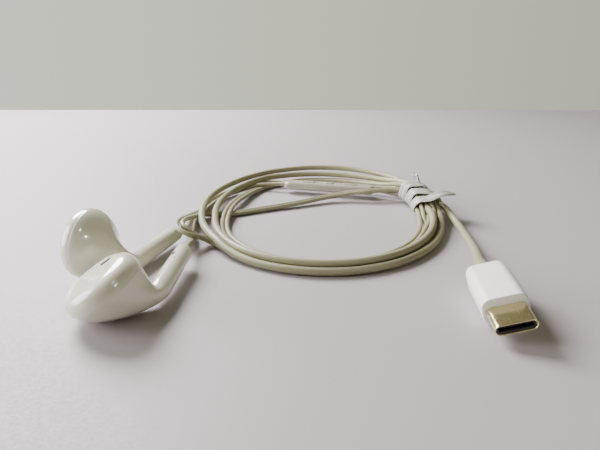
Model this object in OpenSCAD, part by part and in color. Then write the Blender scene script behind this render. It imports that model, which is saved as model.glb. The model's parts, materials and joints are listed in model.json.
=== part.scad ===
// Wired earphones: two ears, an inline remote, a splitter, a small oval plug,
// their cable in a loose coil and the twist tie that holds it. Millimetres, Z up,
// lying on a table at z = 0. The origin is on the table, midway between the ears.

/* [Ear housing] */
// Radius of the round rim where the cap meets the housing
rim_r = 8.6; // [8.3:0.1:9.4]
// Height of the cap in front of the rim
cap_h = 3.7; // [3.6:0.1:4.6]
// Radius of the flat front of the cap
cap_flat_r = 4.5; // [4.3:0.1:5]
// Wall of the cap and of the housing
shell_wall = 0.9; // [0.7:0.05:1]
// Distance of the stem's centre line behind the rim
stem_back = 8.66; // [8:0.02:10]
// Distance of the stem's top below the centre of the rim
stem_drop = 6.28; // [5:0.02:7.5]
// Distance of the stem's top to the side of the housing's middle
stem_offset = 5.24; // [0:0.02:5.6]
// Radius of the stem
stem_r = 2.4; // [2.25:0.05:2.7]
// Length of the straight stem
stem_len = 19.5; // [16:0.5:21]
// Lean of the stem away from the rim's plane, in degrees
stem_lean = 6.7; // [0:0.1:9]
// Lean of the stem back towards the housing's middle, in degrees
stem_side_lean = 9.2; // [0:0.1:11]
// How much narrower the stem is at its end
stem_taper = 0.16; // [0:0.02:0.24]
// Radius of the rounding at the stem's end
stem_round = 0.9; // [0.6:0.1:1]

/* [Ear openings] */
// Length of the sound outlet in the cap
outlet_l = 5; // [4:0.1:5.4]
// Width of the sound outlet
outlet_w = 1.7; // [1.3:0.1:1.9]
// Distance of the sound outlet from the centre of the cap
outlet_from_centre = 5.7; // [5.4:0.1:5.9]
// Length of the vent slot in the face of the cap
cap_vent_l = 1.9; // [1.4:0.1:2.4]
// Width of that slot
cap_vent_w = 0.8; // [0.5:0.05:1]
// Length of the vent slot near the stem's end
stem_vent_l = 1.4; // [1:0.1:1.8]
// Width of that slot
stem_vent_w = 0.6; // [0.4:0.05:0.8]
// Thickness of the woven grilles
mesh_t = 0.25; // [0.15:0.05:0.35]

/* [Driver] */
// Room between the driver's frame and the inside of the rim
driver_room = 0.7; // [0.6:0.05:0.9]
// Height of the frame's rim
driver_rim_h = 1.1; // [1:0.05:1.2]
// Radius of the magnet
magnet_r = 3.2; // [2.9:0.05:3.25]
// Thickness of the magnet
magnet_t = 1.2; // [0.9:0.05:1.4]
// Thickness of the pole plate
pole_t = 0.5; // [0.4:0.05:0.6]
// Inner radius of the voice coil
coil_bore_r = 3.45; // [3.42:0.01:3.5]
// Thickness of the voice coil's winding
coil_wire_t = 0.25; // [0.2:0.01:0.28]
// Outer radius of the yoke
yoke_r = 4.35; // [4.3:0.05:4.5]
// Thickness of the diaphragm's film
film_t = 0.12; // [0.1:0.01:0.15]
// How far the diaphragm moves each way
driver_throw = 0.12; // [0.08:0.01:0.15]

/* [Remote] */
// Length of the remote
remote_l = 34.5; // [32:0.5:36]
// Width of the remote
remote_w = 5; // [4.8:0.1:5.6]
// Thickness of the remote
remote_h = 3; // [3:0.1:3.6]
// Wall of the remote's two shells
remote_wall = 0.5; // [0.4:0.05:0.55]
// Length of each volume button
volume_l = 5.4; // [4.6:0.1:5.6]
// Length of the centre button
centre_l = 4; // [3.4:0.1:4.6]
// Width of the three buttons
button_w = 1.9; // [1.7:0.1:2]
// Distance from button to button
button_pitch = 8; // [7.4:0.1:8.4]
// How far the buttons stand proud of the shell
button_proud = 0.3; // [0.28:0.01:0.4]
// How far a button travels
button_travel = 0.25; // [0.2:0.01:0.26]

/* [Plug] */
// Width of the metal shell of the plug
shell_w = 8.25; // [8.2:0.01:8.3]
// Height of the metal shell
shell_h = 2.4; // [2.37:0.01:2.43]
// Length of the metal shell in front of the boot
shell_l = 6.65; // [6.5:0.05:6.8]
// Wall of the metal shell
shell_t = 0.3; // [0.25:0.01:0.33]
// Width of the boot
boot_w = 9.5; // [9.3:0.1:10.5]
// Height of the boot
boot_h = 6.3; // [6:0.1:6.8]
// Length of the boot
boot_l = 16.6; // [15.5:0.1:18]
// Number of contacts in each row
contact_count = 12; // [8:1:12]
// Distance from contact to contact
contact_pitch = 0.5; // [0.45:0.01:0.5]

/* [Cable] */
// Diameter of the main cable
cable_d = 2.1; // [1.9:0.05:2.2]
// Diameter of the two thin ear leads
lead_d = 1.4; // [1.2:0.05:1.5]
// Length of the splitter
splitter_l = 9; // [8:0.5:10]
// Width of the splitter
splitter_w = 3.8; // [3.6:0.1:4.2]
// Width of the twist tie's flat strip
tie_w = 2.6; // [2.2:0.1:2.8]
// Thickness of the strip
tie_t = 0.9; // [0.7:0.05:1]

/* [Hidden] */

// ---- colours
shell_white = [0.93, 0.94, 0.91];
cable_ivory = [0.86, 0.84, 0.74];
tie_white = [0.95, 0.95, 0.94];
steel = [0.62, 0.62, 0.6];
brass = [0.76, 0.66, 0.46];
copper = [0.8, 0.45, 0.25];
dark = [0.12, 0.12, 0.13];
board_green = [0.16, 0.35, 0.24];
felt_grey = [0.7, 0.7, 0.68];

// ---- small gaps shared by everything
snug = 0.03;       // between pieces that seat in each other
run_gap = 0.12;    // round a button
hair = 0.01;       // lets one cut run clear of a face

// ---- shape rules
function bez3(p, t) =
  pow(1 - t, 3) * p[0] + 3 * pow(1 - t, 2) * t * p[1]
  + 3 * (1 - t) * t * t * p[2] + pow(t, 3) * p[3];

// A closed skin over rings of equal length. "looped" joins the last ring to the
// first; otherwise both ends are closed flat.
module skin(rings, looped = false) {
  n = len(rings[0]);
  m = len(rings);
  last = looped ? m - 1 : m - 2;
  sides = [for (i = [0:last], j = [0:n - 1]) let (
      a = i * n + j, b = i * n + (j + 1) % n,
      c = ((i + 1) % m) * n + (j + 1) % n, d = ((i + 1) % m) * n + j)
    each [[a, b, c], [a, c, d]]];
  ends = looped ? [] : [[for (j = [n - 1:-1:0]) j], [for (j = [0:n - 1]) (m - 1) * n + j]];
  polyhedron([for (r = rings) each r], concat(sides, ends));
}

// A tube swept along a route by carrying one side vector from ring to ring.
function unit(v) = v / norm(v);
function catmull(a, b, c, d, t) =
  0.5 * (2 * b + (c - a) * t + (2 * a - 5 * b + 4 * c - d) * t * t
  + (3 * b - a - 3 * c + d) * pow(t, 3));
function smooth_route(p, steps) = let (m = len(p) - 1) concat(
  [for (i = [0:m - 1], k = [0:steps - 1])
    catmull(i == 0 ? 2 * p[0] - p[1] : p[i - 1], p[i], p[i + 1],
      i == m - 1 ? 2 * p[m] - p[m - 1] : p[i + 2], k / steps)], [p[m]]);
function headings(p) = let (m = len(p) - 1)
  [for (i = [0:m]) unit(p[min(i + 1, m)] - p[max(i - 1, 0)])];
function carried(t, i, s) = i == len(t) ? [] : let (
  q = unit(s - (s * t[i]) * t[i])) concat([q], carried(t, i + 1, q));
function tube_rings(p, r, sides, start) = let (
    t = headings(p), s = carried(t, 0, start))
  [for (i = [0:len(p) - 1]) let (u = s[i], v = cross(t[i], s[i]))
    [for (k = [0:sides - 1]) p[i] + r * (cos(360 * k / sides) * u
      + sin(360 * k / sides) * v)]];
module tube(route, d, steps, sides = 8, start = [0, 0, 1]) {
  skin(tube_rings(smooth_route(route, steps), d / 2, sides, start));
}

// A slot with round ends, centred, its depth along Z.
module slot(l, w, depth) {
  cube([l - w, w, depth], center = true);
  for (x = [-1, 1]) translate([x * (l - w) / 2, 0, 0])
    cylinder(d = w, h = depth, center = true, $fn = 24);
}
module turned(profile, sides = 48) {
  rotate([0, 90, 0]) rotate([0, 0, 90]) rotate_extrude($fn = sides) polygon(profile);
}

// ======================================================================
// Ear, in its own frame: the rim's plane is x = 0, the cap faces +X and the
// stem runs down along -Z, a little to the side of the housing's middle.
// ======================================================================
ring_sides = 28;
ring_angles = [for (k = [0:ring_sides - 1]) 360 * k / ring_sides];
stem_dir = [-sin(stem_lean), -cos(stem_lean)];
stem_side = [cos(stem_lean), -sin(stem_lean)];
stem_top = [-stem_back, -stem_drop];
stem_start = [-stem_back, -stem_offset, -stem_drop];
stem_down = [stem_dir[0] * cos(stem_side_lean), sin(stem_side_lean),
  stem_dir[1] * cos(stem_side_lean)];
stem_in = [-stem_side[0], 0, -stem_side[1]];
stem_across = cross(stem_down, stem_in);

// Two guide curves in the plane of the stem: over the back and under the front.
back_pull = 5.1;
back_rise = -1.05;
back_tuck = 4.9;
front_pull = 6.2;
front_rise = 0.7;
front_tuck = 6.2;
belly_power = 1.46;
back_guide = [[0, rim_r], [-back_pull, rim_r + back_rise],
  stem_top - stem_side * stem_r - stem_dir * back_tuck, stem_top - stem_side * stem_r];
front_guide = [[0, -rim_r], [-front_pull, -rim_r + front_rise],
  stem_top + stem_side * stem_r - stem_dir * front_tuck, stem_top + stem_side * stem_r];

function head_ring(t, inset) = let (
    b = bez3(back_guide, t), f = bez3(front_guide, t), mid = (b + f) / 2,
    half = (b - f) / 2 * (1 - 2 * inset / norm(b - f)),
    w = stem_r + (rim_r - stem_r) * pow(1 - pow(t, 1.3), belly_power) - inset,
    y = -stem_offset * t * t * (3 - 2 * t), lean = stem_side_lean * t)
  [for (a = ring_angles) [mid[0] + half[0] * sin(a), y + w * cos(a) * cos(lean),
    mid[1] + half[1] * sin(a) + w * cos(a) * sin(lean)]];
function stem_out(a) = cos(a) * stem_across + sin(a) * stem_in;
function stem_ring(q, r) = [for (a = ring_angles) stem_start + stem_down * q + r * stem_out(a)];

stem_end_r = stem_r - stem_taper;
lead_hole_r = lead_d / 2 + 0.35;
stem_bore_r = stem_end_r - shell_wall + 0.15;
bore_end = stem_len - 2;

module rear_shell_blank() {
  outer = concat(
    [for (t = [0:1/13:1.001]) head_ring(min(t, 1), 0)],
    [for (q = [0.5, 1]) stem_ring(q * (stem_len - stem_round), stem_r - stem_taper * q)],
    [for (a = [30, 60, 90]) stem_ring(stem_len - stem_round * (1 - sin(a)),
      stem_end_r - stem_round * (1 - cos(a)))]);
  inner = concat(
    [for (t = [0:1/9:1.001]) head_ring(min(t, 1), shell_wall - 0.15 * t)],
    [for (q = [0.5, bore_end]) stem_ring(q, stem_bore_r)],
    [for (q = [bore_end + 0.4, stem_len]) stem_ring(q, lead_hole_r)]);
  count = len(inner);
  skin(concat(outer, [for (i = [count - 1:-1:0]) inner[i]]), looped = true);
}

// Moves its children to a point, with their X and Z along two given directions.
module placed(at, x, z) {
  y = cross(z, x);
  multmatrix([[x[0], y[0], z[0], at[0]], [x[1], y[1], z[1], at[1]],
    [x[2], y[2], z[2], at[2]], [0, 0, 0, 1]]) children();
}

// The small vent near the stem's end, its length along the stem.
stem_vent_up = 5.9;
stem_vent_angle = 264;
module at_stem_vent() placed(stem_start + stem_down * (stem_len - stem_vent_up)
  + stem_out(stem_vent_angle) * (stem_end_r - shell_wall / 2), stem_down,
  stem_out(stem_vent_angle)) children();
module rear_shell() color(shell_white) difference() {
  rear_shell_blank();
  at_stem_vent() slot(stem_vent_l, stem_vent_w, 2);
}
module stem_vent_mesh() color(dark) at_stem_vent()
  slot(stem_vent_l - 2 * snug, stem_vent_w - 2 * snug, mesh_t);

// Cap: the flat front rounds over to the rim.
driver_r = rim_r - shell_wall - driver_room;
cap_curve = 2.4;
function cap_points(h, flat_r, edge_r) = [for (u = [0:1/10:1.001])
  [flat_r + (edge_r - flat_r) * u, h * pow(1 - pow(min(u, 1), cap_curve), 1 / cap_curve)]];
ledge_x = 0.5 + driver_rim_h;
ledge_t = 0.6;
ledge_bore_r = driver_r - 0.6;

// The sound outlet near the cap's edge, and the vent in the cap's face.
outlet_angle = -45;
outlet_lean = 12;
outlet_x = cap_h - 0.5;
module at_outlet() rotate([outlet_angle, 0, 0]) translate([outlet_x, outlet_from_centre, 0])
  rotate([0, 0, outlet_lean]) rotate([0, 90, 0]) children();
cap_vent_at = [-1.45, -3.5];
cap_vent_turn = 30;
module at_cap_vent() translate([cap_h - shell_wall / 2, cap_vent_at[0], cap_vent_at[1]])
  rotate([cap_vent_turn, 0, 0]) rotate([90, 0, 90]) children();

module front_shell() color(shell_white) difference() {
  turned(concat([[0, cap_h]], cap_points(cap_h, cap_flat_r, rim_r), [[0, 0]]), 64);
  translate([-hair, 0, 0]) difference() {
    turned(concat([[0, cap_h - shell_wall + hair]],
      cap_points(cap_h - shell_wall + hair, cap_flat_r, rim_r - shell_wall), [[0, 0]]), 64);
    translate([ledge_x + hair, 0, 0]) rotate([0, 90, 0]) difference() {
      cylinder(r = rim_r, h = ledge_t, $fn = 64);
      translate([0, 0, -hair]) cylinder(r = ledge_bore_r, h = ledge_t + 2 * hair, $fn = 64);
    }
  }
  at_outlet() slot(outlet_l, outlet_w, 2 * shell_wall);
  at_cap_vent() slot(cap_vent_l, cap_vent_w, 2 * shell_wall);
}
module front_mesh() color(dark) at_outlet()
  slot(outlet_l - 2 * snug, outlet_w - 2 * snug, mesh_t);
module cap_vent_mesh() color(dark) at_cap_vent()
  slot(cap_vent_l - 2 * snug, cap_vent_w - 2 * snug, mesh_t);

// Driver. Everything is measured from the back of the frame's rim.
rim_back_x = ledge_x - driver_rim_h;
seat_x = rim_back_x - 0.3;
film_x = 1;
film_r = driver_r - 0.9;
frame_plate_t = 0.5;
plate_x = seat_x - frame_plate_t;
yoke_wall = 0.4;
yoke_floor_t = 0.6;
yoke_x = -2.2;
magnet_x = yoke_x + yoke_floor_t;
pole_x = magnet_x + magnet_t;
coil_outer_r = coil_bore_r + coil_wire_t;
collar_r = yoke_r + snug;
frame_hole_r = 0.4;
frame_hole_ring = (collar_r + film_r + 0.9) / 2;
module driver_frame() color(dark) difference() {
  turned([[collar_r, yoke_x + 0.7], [collar_r + 0.5, yoke_x + 0.7],
    [collar_r + 0.5, plate_x], [film_r + 0.4, plate_x], [driver_r, rim_back_x],
    [driver_r, ledge_x], [film_r + 0.15, ledge_x], [film_r + 0.15, film_x - 0.2],
    [film_r - 0.4, film_x - 0.2], [film_r - 0.6, seat_x], [collar_r, seat_x]]);
  for (a = [0:60:359]) rotate([a, 0, 0]) translate([plate_x - 1, 0, frame_hole_ring])
    rotate([0, 90, 0]) cylinder(r = frame_hole_r, h = 3, $fn = 16);
}
module yoke() color(steel) turned([[0, yoke_x], [yoke_r, yoke_x], [yoke_r, plate_x + 0.4],
  [yoke_r - yoke_wall, plate_x + 0.4], [yoke_r - yoke_wall, magnet_x], [0, magnet_x]]);
module magnet() color(steel) translate([magnet_x, 0, 0]) rotate([0, 90, 0])
  cylinder(r = magnet_r, h = magnet_t, $fn = 48);
module pole_plate() color(steel) translate([pole_x, 0, 0]) rotate([0, 90, 0])
  cylinder(r = min(magnet_r + 0.05, coil_bore_r - 0.1), h = pole_t, $fn = 48);
module voice_coil() color(copper) translate([pole_x - 0.1, 0, 0]) rotate([0, 90, 0])
  difference() {
    cylinder(r = coil_outer_r, h = film_x - pole_x + 0.1, $fn = 48);
    translate([0, 0, -hair])
      cylinder(r = coil_bore_r, h = film_x - pole_x + 1, $fn = 48);
  }
// The film: a dome inside the coil and a rolled surround outside it.
dome_rise = 0.9;
roll_rise = 0.45;
dome_r = coil_bore_r - 0.05;
roll_in = coil_outer_r + 0.05;
roll_out = film_r - 0.3;
function film_line(lift) = concat(
  [for (u = [0:1/6:1.001]) [dome_r * u, film_x + lift + dome_rise * (1 - u * u)]],
  [for (u = [0:1/8:1.001]) [roll_in + (roll_out - roll_in) * u,
    film_x + lift + roll_rise * sin(180 * u)]],
  [[film_r, film_x + lift]]);
module diaphragm() color([0.85, 0.85, 0.8]) turned(concat(film_line(film_t),
  let (l = film_line(0), m = len(l) - 1) [for (i = [m:-1:0]) l[i]]));
module damping_disc() color(felt_grey) translate([plate_x - 0.15, 0, 0])
  rotate([0, 90, 0]) difference() {
    cylinder(r = film_r + 0.3, h = 0.15, $fn = 48);
    translate([0, 0, -hair]) cylinder(r = collar_r + 0.55, h = 1, $fn = 48);
  }
module terminal_board() color(board_green) translate([yoke_x - 0.4, -1.6, -1])
  cube([0.4, 3.2, 2]);

// Soft collar where the lead leaves the stem, in its own frame along +Z.
relief_out = 1.3;
relief_in = 1.4;
module at_stem_end() placed(stem_start + stem_down * stem_len, stem_in, stem_down) children();
module ear_strain_relief() color(cable_ivory) at_stem_end() rotate_extrude($fn = 32)
  polygon([[lead_d / 2 + snug, -relief_in], [lead_hole_r - snug, -relief_in],
    [lead_hole_r - snug, snug], [lead_hole_r + 0.1, snug], [lead_d / 2 + 0.2, relief_out],
    [lead_d / 2 + snug, relief_out]]);

// ======================================================================
// Remote, in its own frame: length along X, buttons up, z = 0 at the seam.
// ======================================================================
remote_round = 1.1;
module pill(l, w, h, r) {
  hull() for (x = [-1, 1]) translate([x * (l - w) / 2, 0, 0])
    rotate_extrude($fn = 32) difference() {
      polygon(concat([[0, h / 2]],
        [for (a = [90:-30:-90]) [w / 2 - r + r * cos(a), (a > 0 ? 1 : a < 0 ? -1 : 0)
          * (h / 2 - r) + r * sin(a)]], [[0, -h / 2]]));
    }
}
remote_inner_h = remote_h / 2 - remote_wall;
module remote_half(up) difference() {
  pill(remote_l, remote_w, remote_h, remote_round);
  translate([0, 0, up ? -remote_h : remote_h])
    cube([2 * remote_l, 2 * remote_w, 2 * remote_h], center = true);
  slot(remote_l - 2 * remote_wall - 1.6, remote_w - 2 * remote_wall - 0.4,
    2 * remote_inner_h);
  for (x = [-1, 1]) translate([x * remote_l / 2, 0, 0]) rotate([0, 90, 0])
    cylinder(r = relief_body_r + snug, h = 5, center = true, $fn = 24);
}
button_top = remote_h / 2 + button_proud;
flange_t = 0.4;
flange_lap = 0.3;
// One button: key cap through the shell, flange under it, plunger to its dome.
dome_h = 0.25;
board_t = 0.5;
board_top = -remote_inner_h + board_t;
dome_top = board_top + dome_h;
flange_top = remote_inner_h - 0.05;
module button(l, x) translate([x, 0, 0]) {
  translate([0, 0, (button_top + flange_top - flange_t / 2) / 2])
    slot(l, button_w, button_top - flange_top + flange_t / 2);
  translate([0, 0, flange_top - flange_t / 2])
    slot(l + 2 * flange_lap, button_w + 2 * flange_lap, flange_t);
  translate([0, 0, dome_top + button_travel + 0.05])
    cylinder(r = 0.6, h = flange_top - flange_t / 2 - dome_top - button_travel - 0.05,
      $fn = 24);
}
module remote_top_shell() color(shell_white) difference() {
  remote_half(true);
  for (k = [[-button_pitch, volume_l], [0, centre_l], [button_pitch, volume_l]])
    translate([k[0], 0, remote_h / 2]) slot(k[1] + 2 * run_gap, button_w + 2 * run_gap,
      remote_h);
}
module remote_bottom_shell() color(shell_white) remote_half(false);
module volume_up_button() color(shell_white) button(volume_l, -button_pitch);
module centre_button() color(shell_white) button(centre_l, 0);
module volume_down_button() color(shell_white) button(volume_l, button_pitch);
remote_board_l = 27;
remote_board_w = 3;
module remote_board() color(board_green)
  translate([-remote_board_l / 2, -remote_board_w / 2, -remote_inner_h])
    cube([remote_board_l, remote_board_w, board_t]);
module dome_switches() color(steel) for (x = [-button_pitch, 0, button_pitch])
  translate([x, 0, board_top]) cylinder(r1 = 1.3, r2 = 0.8, h = dome_h, $fn = 24);
module microphone() color(brass) translate([remote_board_l / 2 - 1.8, 0, board_top + 0.4])
  cube([1.8, 2.2, 0.8], center = true);
relief_body_r = min(0.95, remote_h / 2 - 0.4);
module remote_strain_reliefs() color(cable_ivory) for (s = [-1, 1])
  rotate([0, 0, s > 0 ? 0 : 180]) translate([remote_l / 2 - 1.2, 0, 0]) rotate([0, 90, 0])
    difference() {
      cylinder(r1 = relief_body_r, r2 = lead_d / 2 + 0.15, h = 2.6, $fn = 24);
      translate([0, 0, -hair]) cylinder(r = lead_d / 2 + snug, h = 4, $fn = 24);
    }

// ======================================================================
// Plug, in its own frame: nose towards -Y, y = 0 at the front of the boot.
// ======================================================================
module oval(w, h, l) rotate([90, 0, 0]) linear_extrude(l) {
  square([w - h, h], center = true);
  for (x = [-1, 1]) translate([x * (w - h) / 2, 0]) circle(d = h, $fn = 32);
}
shell_in_boot = 3;
slot_w = 6.7;
slot_h = 0.95;
slot_depth = 5.4;
insulator_w = shell_w - 2 * shell_t - 2 * snug;
insulator_h = shell_h - 2 * shell_t - 2 * snug;
module plug_shell() color(brass) translate([0, shell_in_boot, 0]) difference() {
  oval(shell_w, shell_h, shell_l + shell_in_boot);
  translate([0, hair, 0]) oval(shell_w - 2 * shell_t, shell_h - 2 * shell_t,
    shell_l + shell_in_boot + 2 * hair);
}
insulator_front = -shell_l + 0.35;
insulator_back = 1;
module plug_insulator() color(dark) difference() {
  translate([0, insulator_back, 0])
    oval(insulator_w, insulator_h, insulator_back - insulator_front);
  translate([-slot_w / 2, insulator_front - 1, -slot_h / 2])
    cube([slot_w, slot_depth + 1, slot_h]);
}
contact_w = 0.22;
contact_t = 0.12;
contact_l = 4;
module plug_contacts() color(brass) for (s = [-1, 1], k = [0:contact_count - 1])
  translate([(k - (contact_count - 1) / 2) * contact_pitch,
    insulator_front + slot_depth - contact_l / 2, s * (slot_h - contact_t) / 2])
    cube([contact_w, contact_l, contact_t], center = true);
spring_t = 0.15;
spring_l = 3;
module plug_latch_springs() color(steel) for (s = [-1, 1])
  translate([s * (slot_w - spring_t) / 2, insulator_front + slot_depth - spring_l / 2, 0])
    cube([spring_t, spring_l, 0.5], center = true);
boot_round = 2.2;
boot_back_round = 1.2;
cavity_h = 3.2;
cavity_l = 9.5;
module rounded_slab(w, h, r, l) rotate([-90, 0, 0]) linear_extrude(l)
  hull() for (x = [-1, 1], z = [-1, 1])
    translate([x * (w / 2 - r), z * (h / 2 - r)]) circle(r = r, $fn = 32);
module plug_boot() color(shell_white) difference() {
  hull() {
    translate([0, 0.2, 0]) rounded_slab(boot_w, boot_h, boot_round, boot_l * 0.7);
    rounded_slab(boot_w - 0.3, boot_h - 0.3, boot_round - 0.15, 1);
    translate([0, boot_l - boot_back_round, 0])
      rounded_slab(boot_w - 0.5, boot_h - 0.5, boot_round, 0.01);
    translate([0, boot_l - 0.35, 0])
      rounded_slab(boot_w - 1.3, boot_h - 1.3, boot_round - 0.3, 0.01);
    translate([0, boot_l - 0.01, 0])
      rounded_slab(boot_w - 2.6, boot_h - 2.6, boot_round - 0.8, 0.01);
  }
  translate([0, shell_in_boot, 0]) oval(shell_w + 2 * snug, shell_h + 2 * snug, 6);
  translate([-insulator_w / 2, shell_in_boot - hair, -cavity_h / 2])
    cube([insulator_w, cavity_l, cavity_h]);
  translate([0, boot_l / 2, 0]) rotate([-90, 0, 0])
    cylinder(r = cable_d / 2 + 0.25, h = boot_l, $fn = 32);
}
plug_board_l = 10;
plug_board_t = 0.8;
module plug_board() color(board_green)
  translate([-3.2, insulator_back + 0.02, -plug_board_t / 2])
    cube([6.4, plug_board_l, plug_board_t]);
module converter_chip() color(dark) translate([-1.5, 6, plug_board_t / 2])
  cube([3, 3, 0.7]);
collar_l = 2.4;
module plug_collar() color(cable_ivory) translate([0, boot_l, 0]) rotate([-90, 0, 0])
  difference() {
    cylinder(r1 = cable_d / 2 + 0.95, r2 = cable_d / 2 + 0.65, h = collar_l, $fn = 32);
    translate([0, 0, -hair]) cylinder(r = cable_d / 2 + snug, h = 2 * collar_l, $fn = 32);
  }

// ======================================================================
// Layout on the table. Each place is a point and its turns about X, Y and Z.
// ======================================================================
right_at = [0.85, -17.14, 6.91];
right_turn = [-114.67, -58.23, 193.15];
left_at = [-9.29, 1.75, 8.91];
left_turn = [-83.11, -3.79, 168.7];
remote_at = [52.45, 72.03, 2.8];
remote_yaw = -13.5;
plug_at = [83.5, -21.37, 3.95];
plug_turn = [1.5, -17, -4.5];

module right_ear() translate(right_at) rotate(right_turn) children();
module left_ear() translate(left_at) rotate(left_turn) mirror([0, 1, 0]) children();
module on_remote() translate(remote_at) rotate([0, 0, remote_yaw]) children();
module on_plug() translate(plug_at) rotate([0, 0, plug_turn[2]])
  rotate([plug_turn[0], 0, 0]) rotate([0, plug_turn[1], 0]) children();

// ======================================================================
// Cable. The coil is an oval ring; its outer shape swells and rises with the
// turns that lie in it. Values are listed every 30 degrees from the tie.
// ======================================================================
coil_centre = [48.35, 47.43];
coil_half = [38.7, 45.5];
coil_first = 15;
coil_out = [-0.9, 1.1, 1.1, 1.1, 1.1, 1.1, 1.1, 1.1, 1.1, 1.1, 1.1, 0.6];
coil_in = [6.7, 6.5, 6, 6, 7, 9, 9.5, 8.5, 7, 6.2, 6.2, 6.8];
coil_low = [1.4, 1.6, 1.5, 1.5, 1.2, 0.4, 0.1, 0.1, 0.1, 0.1, 0.1, 1];
coil_high = [7.2, 7.2, 6.8, 6.8, 6.4, 6, 5.4, 4.6, 3.9, 3.9, 4.6, 6.6];
coil_round = [1, 0.8, 0.75, 0.75, 0.75, 0.75, 0.75, 0.75, 0.75, 0.75, 0.75, 0.9];
function eased(list, angle) = let (
    s = (angle - coil_first + 720) / 30, i = floor(s), f = (1 - cos(180 * (s - i))) / 2)
  list[i % 12] * (1 - f) + list[(i + 1) % 12] * f;
function oval_at(angle) = coil_centre + [coil_half[0] * cos(angle), coil_half[1] * sin(angle)];
function oval_out(angle) = unit([coil_half[1] * cos(angle), coil_half[0] * sin(angle)]);
function coil_middle(angle) = let (
    p = oval_at(angle) + oval_out(angle) * (eased(coil_out, angle) - eased(coil_in, angle)) / 2)
  [p[0], p[1], (eased(coil_low, angle) + eased(coil_high, angle)) / 2];
function coil_half_w(angle) = (eased(coil_out, angle) + eased(coil_in, angle)) / 2;
function coil_half_h(angle) = (eased(coil_high, angle) - eased(coil_low, angle)) / 2;
function swell(v, power) = sign(v) * pow(abs(v), power);
coil_steps = 44;
coil_sides = 12;
module cable_coil_blank() skin([for (k = [0:coil_steps - 1]) let (
    angle = 360 * k / coil_steps, o = oval_out(angle), m = coil_middle(angle),
    w = coil_half_w(angle), h = coil_half_h(angle),
    e = eased(coil_round, angle))
  [for (j = [0:coil_sides - 1]) let (b = 360 * (j + 0.5) / coil_sides)
    m + [o[0] * w * swell(cos(b), e), o[1] * w * swell(cos(b), e), h * swell(sin(b), e)]]],
  looped = true);

// The splitter sits among the strands where the tie grips them.
splitter_angle = coil_first;
splitter_h = 3;
module at_splitter() {
  m = coil_middle(splitter_angle);
  o = oval_out(splitter_angle);
  translate(m) rotate([0, 0, atan2(o[1], o[0]) + 90]) children();
}
module splitter_block(extra) rotate([0, 90, 0]) hull() for (z = [-1, 1])
  translate([0, 0, z * (splitter_l / 2 - 0.5)]) for (s = [0, 1])
    linear_extrude(s == 0 ? 1 : 2, center = true) offset(r = 0.9 - 0.4 * s + extra)
      square([splitter_h - 1.8, splitter_w - 1.8], center = true);
module splitter_body() color(cable_ivory) at_splitter() splitter_block(0);
module cable_coil() color(cable_ivory) difference() {
  cable_coil_blank();
  at_splitter() splitter_block(snug);
}

// Plug lead: from inside the collar to the bundle in the tie.
plug_lead_route = [[84.68, -6.42, 4.34], [84.91, -3.43, 4.42], [85.09, -1.24, 4.48],
  [86.3, 4.43, 4.1], [88, 11.93, 3], [89.6, 21.43, 1.8], [90.4, 32.93, 1.6], [89.8, 41.93, 2.8],
  [88, 48.43, 4]];
module plug_lead() color(cable_ivory) tube(plug_lead_route, cable_d, 2);

// The two leads from the splitter: across the ring, round the hairpin by the
// ears and back into the coil. They lie side by side.
lead_route = [[78.7, 62.9, 3.9], [70.03, 63.81, 3.78], [59.15, 64.11, 2.72],
  [48.64, 61.39, 1.6], [38.77, 56.57, 1.06], [28.74, 52.06, 0.86], [18.84, 47.3, 0.86],
  [9.2, 44.05, 2.43], [8.19, 40.11, 3.37], [7.88, 36.02, 4.28], [7.39, 31.96, 4.75],
  [6.97, 27.86, 5.54], [7.21, 23.69, 5.89], [8.69, 19.84, 5.63], [11.92, 19.48, 4.25],
  [14.51, 22.06, 1.97], [17.97, 21.01, 0.86], [26.37, 13.39, 0.86]];
function beside(route, gap) = let (t = headings(route)) [for (i = [0:len(route) - 1])
  route[i] + gap * unit([t[i][1], -t[i][0], 0])];
pair_gap = 0.2;
module lead_pair() color(cable_ivory) for (s = [-1, 1])
  tube(beside(lead_route, s * (lead_d / 2 + pair_gap)), lead_d, 1);

// Last stretch of each lead, from the coil's outer edge into its stem.
right_lead_route = [[11.69, 6.8, 4.17], [11.77, 8.2, 4.23], [11.86, 9.63, 4.29],
  [12, 13.77, 4.02], [11.8, 18.74, 2.62], [11.12, 23.69, 1.3], [10.05, 28.73, 0.82],
  [9.09, 33.82, 0.77], [8.47, 38.96, 0.75], [8.42, 44.13, 0.74], [8.99, 49.27, 0.74],
  [10.06, 54.34, 0.77], [11.34, 59.35, 0.79]];
left_lead_route = [[5.51, 22.83, 3], [5.94, 24.16, 3.05], [6.38, 25.51, 3.1],
  [7.09, 29.54, 2.45], [6.84, 34.01, 1.2], [6.32, 38.62, 0.82], [6.4, 43.27, 0.78],
  [6.95, 47.9, 0.8], [7.82, 52.47, 0.8], [8.64, 57.06, 0.8], [9.49, 61.63, 0.8],
  [11.6, 66.1, 0.8]];
module right_ear_lead() color(cable_ivory) tube(right_lead_route, lead_d, 1);
module left_ear_lead() color(cable_ivory) tube(left_lead_route, lead_d, 1);

// The lead that the remote sits on, at both of its ends.
remote_lead_in = [[36.65, 75.82, 2.8], [35.68, 76.06, 2.8], [34.2, 76.41, 2.8],
  [31.29, 77.04, 2.56], [28.49, 77.39, 2.33], [25.68, 77.36, 2.04], [23.05, 76.43, 1.59]];
remote_lead_out = [[68.25, 68.24, 2.8], [69.22, 68, 2.8], [70.7, 67.65, 2.8],
  [72.81, 66.62, 2.61], [74.82, 65.51, 2.45], [76.75, 64.28, 2.49]];
module remote_leads() color(cable_ivory) for (r = [remote_lead_in, remote_lead_out])
  tube(r, lead_d, 1);

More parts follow.
